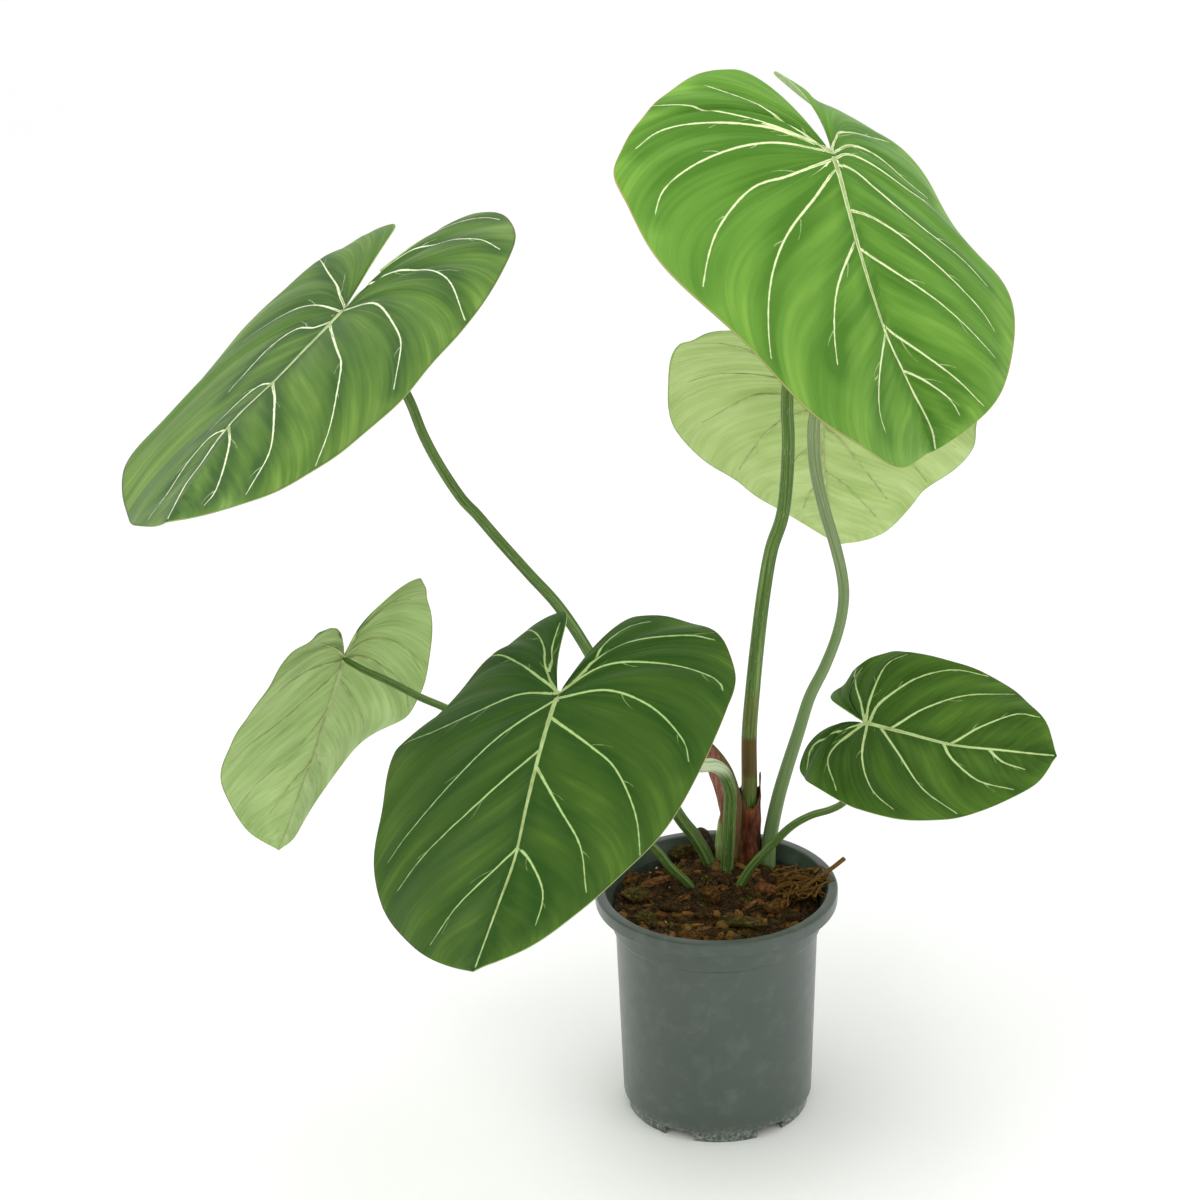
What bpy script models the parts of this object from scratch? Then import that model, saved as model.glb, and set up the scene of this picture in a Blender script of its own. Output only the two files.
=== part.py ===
"""Philodendron gloriosum in a plastic nursery pot.

Six heart-shaped leaves on round stalks rise from a creeping rhizome in potting mix.
World units are metres, +Z up, with the origin at the middle of the pot's underside.
Sizes are in millimetres and angles in degrees, until the MM and math.radians factors.
The world -Y side is the front. A leaf's own frame has its origin where the stalk meets the
blade, +Y along the midrib to the tip, +Z out of the upper face, and +X = Y x Z.
"""
import math
import random
from dataclasses import dataclass

import bpy
import numpy as np
from mathutils import Matrix, Vector, noise

MM = 0.001
GAP = 0.35
UP = Vector((0.0, 0.0, 1.0))

# Pot
POT_SIDES = 40
RIM_R = 85.0
MOUTH_R = 78.0
POT_H = 169.6
LIP_H = 10.0
COLLAR_R = 74.3
COLLAR_H = 28.6
WALL_TOP_R = 70.8
WALL_FOOT_R = 67.0
WALL = 1.6
FOOT_H = 8.0
FOOT_R = 65.0
FLOOR_Z = 9.0
RECESS_Z = 6.5
HUB_R = 26.0
NOTCHES = 6
NOTCH_W = 22.0
NOTCH_FIRST = -117.0
DRAIN_R = 4.0

# Potting mix
SOIL_SIDES = 44
SOIL_RINGS = 8
SOIL_EDGE_Z = 153.5
MOUND = 9.5
MOUND_AT = (8.0, 36.0)
MOUND_R = 34.0
CHUNKS = 20
TWIGS = 7
TWIG_HEAP = (62.0, 20.0)

# Stalks
STALK_SIDES = 8
STALK_STEP = 21.0
NORMAL_RUN = 18.0

# Blades
BLADE_T = 0.8
RIB_T = 1.0
MIDRIB_T = 1.6
QUILT = 1.7
ROWS = (0.0, 0.08, 0.36, 0.68, 1.0)
VEINS = (0.12, 0.25, 0.39, 0.53, 0.68, 0.84)
RIB_SIDE = 0.022
FAN = 0.36
SOFT = 0.12
VEIN_STATION = (0.0, 0.2, 0.36, 0.5, 0.62, 0.8, 1.0)
VEIN_LEAVES = (42.0, 45.0, 62.0, 115.0, 148.0, 162.0, 174.0)
VEIN_ARRIVES = (-5.0, 12.0, 12.0, 36.0, 55.0, 92.0, 90.0)

# Where a half's margin swells out or is drawn in, from tip to lobe, and how far along it each reaches
SWELL_AT = (0.10, 0.25, 0.42, 0.58, 0.75, 0.93)
SWELL_REACH = 0.06


@dataclass
class Half:
    """One side of a blade: sizes in millimetres, angles in degrees.

    fold is the slope away from the midrib and curl the further turn out to the margin,
    each at the lobes, at the stalk and at the tip; swells is how far the margin stands
    out at each place of SWELL_AT.
    """
    width: float
    widest: float
    lobe_out: float
    lobe_back: float
    sinus: float
    fold: tuple
    curl: tuple
    swells: tuple
    waves: float = 3.0
    wave_h: float = 3.0
    phase: float = 0.0


@dataclass
class Leaf:
    """A blade, where its stalk meets it and how it hangs, and the stalk's route."""
    origin: tuple
    heading: float
    pitch: float
    roll: float
    midrib: float
    droop: float
    lobe_droop: float
    twist: float
    lobe_twist: float
    sweep: float
    bow: float
    left: Half
    right: Half
    stalk: tuple
    stalk_r: tuple


LEAVES = {
    "high_right": Leaf(
        origin=(77, -20, 700), heading=-67, pitch=-47, roll=-1, midrib=208,
        droop=62, lobe_droop=69, twist=18, lobe_twist=-23, sweep=8, bow=-53,
        left=Half(132, 81, 39, 116, 16, fold=(-33, -20, 29), curl=(12, -24, -65), swells=(-2.5, 0, 0, 5, -3.5, 0)),
        right=Half(150, 15, 35, 73, 9, fold=(10, 11, 20), curl=(-60, -24, 8), swells=(8, 3, 9, 5.5, -3.5, 3)),
        stalk=((26, 54, 138), (26, 55, 166), (26, 57, 221), (26, 56, 260), (28.5, 54, 296),
               (32, 52, 335), (36, 50, 371), (41, 48, 403), (48, 46, 427), (51, 44, 453),
               (52, 41, 486), (51, 38, 517), (55, 34, 563), (62, 26, 614), (70, 6, 663)),
        stalk_r=(6.0, 4.6, 3.6)),
    "high_left": Leaf(
        origin=(-238, -40, 611), heading=-133, pitch=-24, roll=-14, midrib=225,
        droop=-23, lobe_droop=48, twist=-25, lobe_twist=13, sweep=12, bow=-56,
        left=Half(124, 37, 36, 123, 5, fold=(24, 32, -7), curl=(-16, -21, 8), swells=(4.5, -5.5, 7, -3, 2, 2.5)),
        right=Half(139, 70, 39, 118, 14, fold=(-10, -24, -30), curl=(-58, -20, 14), swells=(0, -1.5, 4.5, 7, 5, -1)),
        stalk=((4, 45, 138), (-4, 47, 165), (-14, 45, 186), (-25, 42, 204), (-45, 38, 246),
               (-66, 34, 292), (-86, 30, 338), (-105, 24, 374), (-125, 18, 402),
               (-144, 12, 429), (-158, 7, 450), (-168, 3, 464), (-181, -2, 489),
               (-191, -6, 513), (-200, -11, 542), (-216, -20, 578)),
        stalk_r=(4.9, 3.8, 3.1)),
    "front": Leaf(
        origin=(-106, -160, 392), heading=-106, pitch=-31, roll=1, midrib=211,
        droop=-9, lobe_droop=39, twist=-17, lobe_twist=29, sweep=-8, bow=-3,
        left=Half(123, 13, 31, 67, 7, fold=(5, 18, 2), curl=(-23, -14, -10), swells=(8, -4, 0, 1.5, 0, 1.5)),
        right=Half(144, 2, 32, 84, 21, fold=(6, -21, -17), curl=(-79, -14, 6), swells=(1.5, 1.5, -9, 0, 6.5, -1)),
        stalk=((9, 34, 138), (9, 35, 165), (10, 33, 186), (11, 29, 215), (11, 23, 233),
               (6, 9, 253), (-2, -6, 266), (-11, -22, 274), (-32, -55, 293),
               (-59, -95, 321), (-82, -130, 352)),
        stalk_r=(4.6, 4.7, 3.6)),
    "low_right": Leaf(
        origin=(100, -50, 317), heading=-17, pitch=-11, roll=13, midrib=129,
        droop=-14, lobe_droop=69, twist=-12, lobe_twist=-7, sweep=-11, bow=-2,
        left=Half(81, 9, 42, 40, 5, fold=(-25, 1, 8), curl=(11, 0, -17), swells=(2.5, 2, -3.5, 3, -6.5, -2)),
        right=Half(77, 17, 40, 38, 3, fold=(-20, 2, -8), curl=(-3, -12, 9), swells=(5, -2, 2.5, -2, 0, 2.5)),
        stalk=((11, 21, 138), (17, 18, 158), (26, 14, 177), (39, 6, 197), (52, -3, 216),
               (65, -14, 230), (78, -27, 241), (87, -36, 252), (94, -43, 270)),
        stalk_r=(3.7, 2.6, 2.1)),
    "back": Leaf(
        origin=(80, 130, 487), heading=89, pitch=-63, roll=14, midrib=182,
        droop=-10, lobe_droop=50, twist=-8, lobe_twist=-3, sweep=-8, bow=13,
        left=Half(109, 17, 57, 80, 7, fold=(-6, 3, 3), curl=(-16, -25, -18), swells=(3.5, -8.5, 2, 0, -1, 1.5)),
        right=Half(111, 11, 55, 78, 7, fold=(6, 21, 13), curl=(-14, -43, 51), swells=(9, -9, -1.5, 7.5, 0, 0)),
        stalk=((39, 45, 138), (39, 51, 165), (41, 54, 182), (46, 56, 207), (52, 58, 229),
               (61, 61, 258), (69, 65, 283), (80, 69, 305), (89, 73, 329), (93, 77, 351),
               (92, 81, 369), (87, 85, 391), (80, 90, 415), (74, 96, 443), (73, 104, 466)),
        stalk_r=(5.6, 3.8, 4.5)),
    "low_left": Leaf(
        origin=(-254, 20, 341), heading=177, pitch=-71, roll=27, midrib=160,
        droop=-1, lobe_droop=58, twist=-25, lobe_twist=-2, sweep=-4, bow=3,
        left=Half(85, 36, 62, 44, 10, fold=(-8, 3, 3), curl=(10, -2, 18), swells=(3, -1.5, -5, 9, -5, 3.5)),
        right=Half(76, 39, 55, 59, 8, fold=(7, 8, 15), curl=(-18, -77, 52), swells=(9, -9, 8.5, 1.5, 5, -1.5)),
        stalk=((-9, 27, 138), (-18, 22, 158), (-32, 17, 176), (-42, 13, 192), (-66, 4, 222),
               (-97, -3, 254), (-127, -7, 280), (-157, -8, 300), (-185, -5, 314),
               (-201, -1, 320), (-221, 5, 329)),
        stalk_r=(3.3, 2.9, 2.5)),
}

# Old leaf sheaths, the rhizome's end and the new bud beside it
SHEATH_WALL = 1.2
SHEATH_FROM = 150.0
SHEATH_TO = 212.0
CATAPHYLL = ((13, 48, 140), (13, 48, 165), (12, 49, 190), (8, 50, 215), (-1, 50, 240), (-13, 50, 258), (-25, 50, 270))
CATAPHYLL_HALF = (3.6, 3.8, 6.0, 8.5, 8.5, 6.0, 1.5)
CATAPHYLL_T = 0.85
STUMP = ((-4, 58, 138), (-6, 62, 160), (-8, 64, 180), (-8, 64, 187))
STUMP_R = (7.0, 7.0, 6.6, 4.6)
BUD = ((6, 54, 140), (5, 57, 165), (5, 58, 180), (6, 58, 192), (8, 57, 203))
BUD_R = (3.2, 3.6, 3.4, 2.2, 0.5)

COLOURS = {
    "pot_plastic": ((0.10, 0.13, 0.12), 0.45),
    "potting_mix": ((0.055, 0.028, 0.012), 0.95),
    "blade_skin": ((0.08, 0.24, 0.03), 0.5),
    "stalk_skin": ((0.10, 0.22, 0.06), 0.5),
    "dry_sheath": ((0.20, 0.07, 0.03), 0.7),
    "rhizome_bark": ((0.045, 0.025, 0.02), 0.85),
    "bud_skin": ((0.30, 0.50, 0.12), 0.5),
}


def clear_scene():
    """Remove every object of the startup scene."""
    for obj in list(bpy.data.objects):
        bpy.data.objects.remove(obj, do_unlink=True)


def material(name):
    """The Principled material of this name, made on first use."""
    found = bpy.data.materials.get(name)
    if found:
        return found
    colour, roughness = COLOURS[name]
    made = bpy.data.materials.new(name)
    made.use_nodes = True
    shader = made.node_tree.nodes["Principled BSDF"]
    shader.inputs["Base Color"].default_value = (*colour, 1.0)
    shader.inputs["Roughness"].default_value = roughness
    shader.inputs["Metallic"].default_value = 0.0
    return made


def mesh_object(name, points, faces, finish, smooth_angle=40.0):
    """An object from points in millimetres and faces, with its own material."""
    mesh = bpy.data.meshes.new(name)
    mesh.from_pydata([Vector(p) * MM for p in points], [], faces)
    mesh.validate()
    mesh.materials.append(material(finish))
    mesh.shade_smooth()
    mesh.set_sharp_from_angle(angle=math.radians(smooth_angle))
    obj = bpy.data.objects.new(name, mesh)
    bpy.context.scene.collection.objects.link(obj)
    return obj


def boolean(target, others, operation, solver="EXACT"):
    """Join or cut others with target, keep the result as its mesh, and remove them."""
    group = bpy.data.collections.new(target.name + "_tools")
    bpy.context.scene.collection.children.link(group)
    for other in others:
        for owner in list(other.users_collection):
            owner.objects.unlink(other)
        group.objects.link(other)
    modifier = target.modifiers.new("join", "BOOLEAN")
    modifier.operation = operation
    modifier.solver = solver
    modifier.operand_type = "COLLECTION"
    modifier.collection = group
    bpy.context.view_layer.update()
    graph = bpy.context.evaluated_depsgraph_get()
    result = bpy.data.meshes.new_from_object(target.evaluated_get(graph))
    target.modifiers.clear()
    target.data = result
    for other in others:
        bpy.data.objects.remove(other, do_unlink=True)
    bpy.data.collections.remove(group)


def smooth_path(points, step):
    """Catmull-Rom points about every step millimetres through the given ones."""
    pts = [Vector(p) for p in points]
    ends = [pts[0] * 2 - pts[1]] + pts + [pts[-1] * 2 - pts[-2]]
    made = []
    for a, b, c, d in zip(ends, ends[1:], ends[2:], ends[3:]):
        pieces = max(1, round((c - b).length / step))
        for k in range(pieces):
            u = k / pieces
            made.append(0.5 * (2 * b + (c - a) * u + (2 * a - 5 * b + 4 * c - d) * u * u
                               + (3 * b - a - 3 * c + d) * u ** 3))
    return made + [pts[-1]]


def along(values, u):
    """The value at share u of a list of values."""
    return float(np.interp(u, np.linspace(0.0, 1.0, len(values)), values))


def tube(path, radii, sides, flat=1.0, side_hint=UP, grow=0.0):
    """Points and faces of a closed tube; flat squeezes it across side_hint."""
    lengths = [0.0]
    for a, b in zip(path, path[1:]):
        lengths.append(lengths[-1] + (b - a).length)
    points = []
    across = None
    for k, centre in enumerate(path):
        ahead = path[min(k + 1, len(path) - 1)] - path[max(k - 1, 0)]
        ahead.normalize()
        if across is None:
            across = ahead.cross(side_hint if abs(ahead.dot(side_hint)) < 0.9 else Vector((1, 0, 0)))
        across = (across - ahead * across.dot(ahead)).normalized()
        other = ahead.cross(across)
        radius = along(radii, lengths[k] / lengths[-1]) + grow
        for j in range(sides):
            turn = 2 * math.pi * j / sides
            points.append(centre + across * math.cos(turn) * radius
                          + other * math.sin(turn) * (radius * flat + grow * (1 - flat)))
    faces = []
    for k in range(len(path) - 1):
        for j in range(sides):
            a = k * sides + j
            b = k * sides + (j + 1) % sides
            faces.append((a, b, b + sides, a + sides))
    faces.append(tuple(range(sides - 1, -1, -1)))
    faces.append(tuple(range((len(path) - 1) * sides, len(path) * sides)))
    return points, faces


def revolve(profile, sides):
    """Points and faces of a closed profile (r, z) turned round Z; r = 0 is a pole."""
    points = []
    rings = []
    for r, z in profile:
        if r == 0.0:
            rings.append([len(points)] * sides)
            points.append((0.0, 0.0, z))
            continue
        rings.append(list(range(len(points), len(points) + sides)))
        for j in range(sides):
            turn = 2 * math.pi * j / sides
            points.append((r * math.cos(turn), r * math.sin(turn), z))
    faces = []
    for low, high in zip(rings, rings[1:]):
        for j in range(sides):
            i = (j + 1) % sides
            corners = dict.fromkeys((low[j], high[j], high[i], low[i]))
            if len(corners) > 2:
                faces.append(tuple(corners))
    return points, faces


def make_pot():
    """The thin-walled pot: rolled lip, collar, tapered wall, foot ring, hub and drains."""
    lip_z = POT_H - LIP_H
    step_z = POT_H - COLLAR_H
    outer = [(MOUTH_R, POT_H - 1.0), (MOUTH_R + 1.4, POT_H), (RIM_R - 1.4, POT_H), (RIM_R, POT_H - 1.4),
             (RIM_R - 0.3, lip_z + 0.8), (RIM_R - 1.4, lip_z), (COLLAR_R + 0.3, lip_z - 0.3),
             (COLLAR_R - 1.0, step_z + 0.6), (WALL_TOP_R, step_z - 1.2), (WALL_FOOT_R, FOOT_H + 2.2),
             (WALL_FOOT_R - 0.8, FOOT_H + 0.4), (FOOT_R, FOOT_H), (FOOT_R - 0.4, 0.8), (FOOT_R - 1.2, 0.0)]
    under = [(FOOT_R - 3.6, 0.0), (FOOT_R - 4.4, RECESS_Z), (HUB_R + 1.0, RECESS_Z), (HUB_R, 0.0), (0.0, 0.0)]
    inner = [(0.0, FLOOR_Z), (WALL_FOOT_R - WALL, FLOOR_Z), (WALL_TOP_R - WALL, step_z - 2.4),
             (COLLAR_R - 1.0 - WALL, step_z - 0.2), (COLLAR_R + 0.3 - WALL, lip_z - 1.4),
             (MOUTH_R - 1.2, POT_H - 3.4), (MOUTH_R, POT_H - 1.0)]
    points, faces = revolve([(r, z) for r, z in (outer + under + inner)], POT_SIDES)
    points = points[:-POT_SIDES]
    last = len(points)
    faces = [tuple(i if i < last else i - last for i in face) for face in faces]
    faces = [tuple(reversed(face)) for face in faces]
    pot = mesh_object("pot", points, faces, "pot_plastic")
    cutters = []
    for k in range(NOTCHES):
        turn = math.radians(NOTCH_FIRST + 360.0 * k / NOTCHES)
        out = Vector((math.cos(turn), math.sin(turn), 0.0))
        side = Vector((-out.y, out.x, 0.0))
        cutters.append(block("notch", out * (FOOT_R - 2.0) + UP * (RECESS_Z / 2 - 1.0),
                             out, side, (5.0, NOTCH_W / 2, RECESS_Z / 2 + 0.9)))
        drain = out * (FOOT_R - 16.0)
        path = [drain + UP * (RECESS_Z - 2.0), drain + UP * (FLOOR_Z + 2.0)]
        cutters.append(mesh_object("drain", *tube(path, (DRAIN_R, DRAIN_R), 8), "pot_plastic"))
    boolean(pot, cutters, "DIFFERENCE")
    return pot


def block(name, centre, out, side, half):
    """A closed box with the given centre, directions and half sizes."""
    points = []
    for a in (-1, 1):
        for b in (-1, 1):
            for c in (-1, 1):
                points.append(centre + out * a * half[0] + side * b * half[1] + UP * c * half[2])
    faces = [(0, 1, 3, 2), (4, 6, 7, 5), (0, 4, 5, 1), (2, 3, 7, 6), (0, 2, 6, 4), (1, 5, 7, 3)]
    return mesh_object(name, points, faces, "pot_plastic")


def soil_height(x, y):
    """Height of the potting mix: a mound at the crown, and lumps all over."""
    reach = math.hypot(x - MOUND_AT[0], y - MOUND_AT[1]) / MOUND_R
    lump = noise.noise(Vector((x / 13.0, y / 13.0, 3.1))) * 2.6
    crumb = noise.noise(Vector((x / 5.5, y / 5.5, 7.7))) * 1.3
    edge = min(1.0, max(0.0, (72.0 - math.hypot(x, y)) / 12.0))
    return SOIL_EDGE_Z + MOUND * math.exp(-reach * reach) + (lump + crumb) * (0.35 + 0.65 * edge)


def make_soil(holes):
    """Potting mix with bark, lumps and twigs joined in, and a plain hole for each stem."""
    step_z = POT_H - COLLAR_H
    lip_z = POT_H - LIP_H
    wall = [(WALL_FOOT_R - WALL, FLOOR_Z), (WALL_TOP_R - WALL, step_z - 2.4),
            (COLLAR_R - 1.0 - WALL, step_z - 0.2), (COLLAR_R + 0.3 - WALL, lip_z - 1.4)]
    flat = math.cos(math.pi / POT_SIDES)

    def wall_r(z):
        return float(np.interp(z, [p[1] for p in wall], [p[0] for p in wall])) * flat - GAP - 0.2

    profile = [(0.0, FLOOR_Z + GAP), (wall_r(FLOOR_Z), FLOOR_Z + GAP), (wall_r(step_z - 3.2), step_z - 3.2),
               (wall_r(step_z + 1.0), step_z + 1.0), (wall_r(SOIL_EDGE_Z), SOIL_EDGE_Z)]
    edge_r = profile[-1][0]
    for k in range(SOIL_RINGS - 1, 0, -1):
        profile.append((edge_r * (k / SOIL_RINGS) ** 0.85, SOIL_EDGE_Z + 1.0))
    profile.append((0.0, SOIL_EDGE_Z + 1.0))
    points, faces = revolve(profile, SOIL_SIDES)
    top = [i for i, p in enumerate(points) if p[2] > SOIL_EDGE_Z - 0.5]
    for i in top:
        x, y, _ = points[i]
        points[i] = (x, y, soil_height(x, y))
    soil = mesh_object("potting_mix", points, faces, "potting_mix", 30.0)
    boolean(soil, soil_bits(), "UNION")
    cutters = [mesh_object("hole", *tube(path, radii, sides, grow=GAP + 0.15), "potting_mix")
               for path, radii, sides in holes]
    boolean(soil, cutters, "DIFFERENCE")
    return soil


def soil_bits():
    """Bark chunks over the mix and the heap of twigs at the right, sunk well in."""
    rng = random.Random(11)
    bits = []
    spots = []
    while len(spots) < CHUNKS:
        turn = rng.uniform(0.0, 2 * math.pi)
        reach = 62.0 * math.sqrt(rng.random())
        spot = Vector((reach * math.cos(turn), reach * math.sin(turn), 0.0))
        clear = all((spot - Vector((p[0], p[1], 0.0))).length > 15.0 for p in crown_points())
        if clear and all((spot - other).length > 9.0 for other in spots):
            spots.append(spot)
    for spot in spots:
        size = (rng.uniform(5.0, 9.5), rng.uniform(3.0, 5.0), rng.uniform(2.4, 3.6))
        bits.append(chunk(spot, size, rng))
    for k in range(TWIGS):
        turn = rng.uniform(-0.5, 0.75)
        start = Vector((TWIG_HEAP[0] - 20 + rng.uniform(-5, 4), TWIG_HEAP[1] + rng.uniform(-14, 12), 0.0))
        start.z = soil_height(start.x, start.y) - 2.0
        run = rng.uniform(20.0, 27.0)
        end = start + Vector((math.cos(turn) * run, math.sin(turn) * run, 0.0))
        end *= min(1.0, (MOUTH_R - 6.0) / math.hypot(end.x, end.y))
        end.z = start.z + rng.uniform(13.0, 20.0)
        middle = (start + end) / 2 + UP * rng.uniform(-0.5, 1.5)
        radius = rng.uniform(1.0, 1.9)
        bits.append(mesh_object("twig", *tube([start, middle, end], (radius * 1.2, radius, radius * 0.8), 5),
                                "potting_mix"))
    return bits


def chunk(spot, size, rng):
    """A rough flattened lump of bark lying in the mix."""
    turn = Matrix.Rotation(rng.uniform(0, 2 * math.pi), 3, "Z") @ Matrix.Rotation(rng.uniform(-0.35, 0.35), 3, "Y")
    height = soil_height(spot.x, spot.y) + size[2] * 0.25
    points = [Vector((0, 0, -1))]
    for z, r in ((-0.45, 0.85), (0.5, 0.8)):
        for j in range(6):
            a = 2 * math.pi * (j + 0.5 * (z > 0)) / 6
            rough = r * rng.uniform(0.8, 1.12)
            points.append(Vector((rough * math.cos(a), rough * math.sin(a), z * rng.uniform(0.8, 1.2))))
    points.append(Vector((0, 0, 1)))
    faces = []
    for j in range(6):
        i = (j + 1) % 6
        faces.append((0, 1 + i, 1 + j))
        faces.append((1 + j, 1 + i, 7 + j))
        faces.append((1 + i, 7 + i, 7 + j))
        faces.append((7 + j, 7 + i, 13))
    placed = [turn @ Vector((p.x * size[0], p.y * size[1], p.z * size[2])) + Vector((spot.x, spot.y, height))
              for p in points]
    return mesh_object("chunk", placed, faces, "potting_mix")


def crown_points():
    """Where each stem enters the mix, in plan."""
    return [leaf.stalk[1] for leaf in LEAVES.values()] + [STUMP[1], BUD[1]]


def leaf_frame(leaf):
    """The blade's axes as the columns of a 3 x 3 array."""
    head, pitch, roll = (math.radians(a) for a in (leaf.heading, leaf.pitch, leaf.roll))
    tip = np.array((math.cos(pitch) * math.cos(head), math.cos(pitch) * math.sin(head), math.sin(pitch)))
    flat = np.array((-math.sin(pitch) * math.cos(head), -math.sin(pitch) * math.sin(head), math.cos(pitch)))
    face = flat * math.cos(roll) + np.cross(tip, flat) * math.sin(roll)
    return np.stack((np.cross(tip, face), tip, face), axis=1)


def bezier(a, b, c, d, u):
    """Point at u on a cubic with ends a, d and handles b, c."""
    v = 1.0 - u
    return a * v ** 3 + b * 3 * v * v * u + c * 3 * v * u * u + d * u ** 3


def margin_point(half, midrib, t):
    """Flat margin of one half at t, from the tip (0) past the widest point to the lobe (1)."""
    tip = np.array((0.0, midrib))
    side = np.array((half.width, half.widest))
    rear = np.array((half.lobe_out, -half.lobe_back))
    if t <= 0.5:
        place = bezier(tip, tip + (0.5 * half.width, -0.16 * midrib),
                       side + (0.0, 0.55 * (midrib - half.widest)), side, t * 2)
    else:
        place = bezier(side, side - (0.0, 0.55 * (half.widest + half.lobe_back)),
                       rear + (0.55 * (half.width - half.lobe_out), 0.0), rear, t * 2 - 1)
    out = place - (0.0, 0.3 * midrib)
    swell = sum(size * math.exp(-((t - at) / SWELL_REACH) ** 2) for at, size in zip(SWELL_AT, half.swells))
    return place + out / np.linalg.norm(out) * swell * smooth_share(t / 0.04)


def flat_point(half, midrib, t, s):
    """Flat place at share s of the line that a vein at t follows to the margin."""
    end = margin_point(half, midrib, t)
    start = np.array((0.0, midrib * max(0.0, 1.0 - t / FAN)))
    leaves = math.radians(np.interp(t, VEIN_STATION, VEIN_LEAVES))
    arrives = math.radians(np.interp(t, VEIN_STATION, VEIN_ARRIVES))
    reach = 0.36 * np.linalg.norm(end - start)
    near = start + reach * np.array((math.sin(leaves), math.cos(leaves)))
    far = end - reach * np.array((math.sin(arrives), math.cos(arrives)))
    edge_near = np.array((half.sinus, -0.45 * half.lobe_back))
    edge_far = end - (0.495 * half.lobe_out, 0.0)
    share = min(1.0, max(0.0, (t - 0.8) / 0.2)) ** 2
    near = near * (1 - share) + edge_near * share
    far = far * (1 - share) + edge_far * share
    return bezier(start, near, far, end, s)


def smooth_share(u):
    """A smooth step from 0 to 1."""
    u = min(1.0, max(0.0, u))
    return u * u * (3 - 2 * u)


def spine_place(leaf, y):
    """Centre line, its normal and its side direction at flat distance y, in leaf axes."""
    scale = leaf.midrib

    def turned(v):
        ahead = 0.5 * (v + math.sqrt(v * v + SOFT * SOFT))
        return math.radians(leaf.droop) * ahead + math.radians(leaf.lobe_droop) * (v - ahead)

    steps = 12
    place = np.zeros(2)
    for k in range(steps):
        angle = turned(y / scale * (k + 0.5) / steps)
        place += np.array((math.cos(angle), -math.sin(angle))) * y / steps
    v = y / scale
    rest = SOFT / 2
    ahead = 0.5 * (v + math.sqrt(v * v + SOFT * SOFT))
    behind = v - ahead
    pitch = turned(v)
    roll = math.radians(leaf.twist) * ahead + math.radians(leaf.lobe_twist) * behind
    tilt = math.tan(math.radians(leaf.sweep))
    aside = leaf.bow * (ahead * ahead - rest * rest) - scale * tilt * (behind + rest)
    up = np.array((0.0, math.sin(pitch), math.cos(pitch)))
    side = np.array((1.0, 0.0, 0.0))
    return (np.array((aside, place[0], place[1])),
            up * math.cos(roll) - side * math.sin(roll),
            side * math.cos(roll) + up * math.sin(roll))


def bent_point(leaf, half, sign, flat):
    """The flat place after the blade's droop, twist, fold and curl, in leaf axes."""
    x, y = flat
    centre, up, side = spine_place(leaf, y)
    back = smooth_share(-y / (0.45 * leaf.midrib))
    front = smooth_share(y / leaf.midrib)
    fold, curl = (math.radians(v[1] + (v[0] - v[1]) * back + (v[2] - v[1]) * front)
                  for v in (half.fold, half.curl))
    bend = curl / half.width
    if abs(bend) < 1e-5:
        bend = 1e-5
    out = (math.sin(fold + bend * x) - math.sin(fold)) / bend
    rise = (math.cos(fold) - math.cos(fold + bend * x)) / bend
    return centre + side * sign * out + up * rise


def relief(half, t, s):
    """Height of the pillows between veins and of the margin's waves."""
    nearest = min(abs(t - vein) for vein in VEINS)
    pillow = smooth_share(nearest / 0.05) * smooth_share(s / 0.3) * smooth_share((1.0 - s) / 0.25)
    pillow *= smooth_share(t / 0.12) * smooth_share((1.0 - t) / 0.12)
    wave = math.sin(2 * math.pi * half.waves * t + half.phase) * s ** 3 * smooth_share(t / 0.15)
    return QUILT * pillow + half.wave_h * wave * smooth_share((1.0 - t) / 0.2)


def rib_depth(leaf, t, s):
    """How far the midrib or a vein stands out of the underside."""
    share = smooth_share((FAN - t) / FAN)
    if s == 0.0:
        return MIDRIB_T * (1.0 - 0.75 * share)
    if any(abs(t - vein) < 1e-6 for vein in VEINS):
        return RIB_T * (1.0 - s) ** 0.8
    return 0.0


def vein_lines():
    """The values of t at which the mesh has a line: on, beside and between the veins."""
    found = {0.0, 1.0}
    for vein in VEINS:
        found |= {vein - RIB_SIDE, vein, vein + RIB_SIDE}
    for a, b in zip((0.0,) + VEINS, VEINS + (1.0,)):
        found.add((a + b) / 2)
    return sorted(found)


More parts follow.
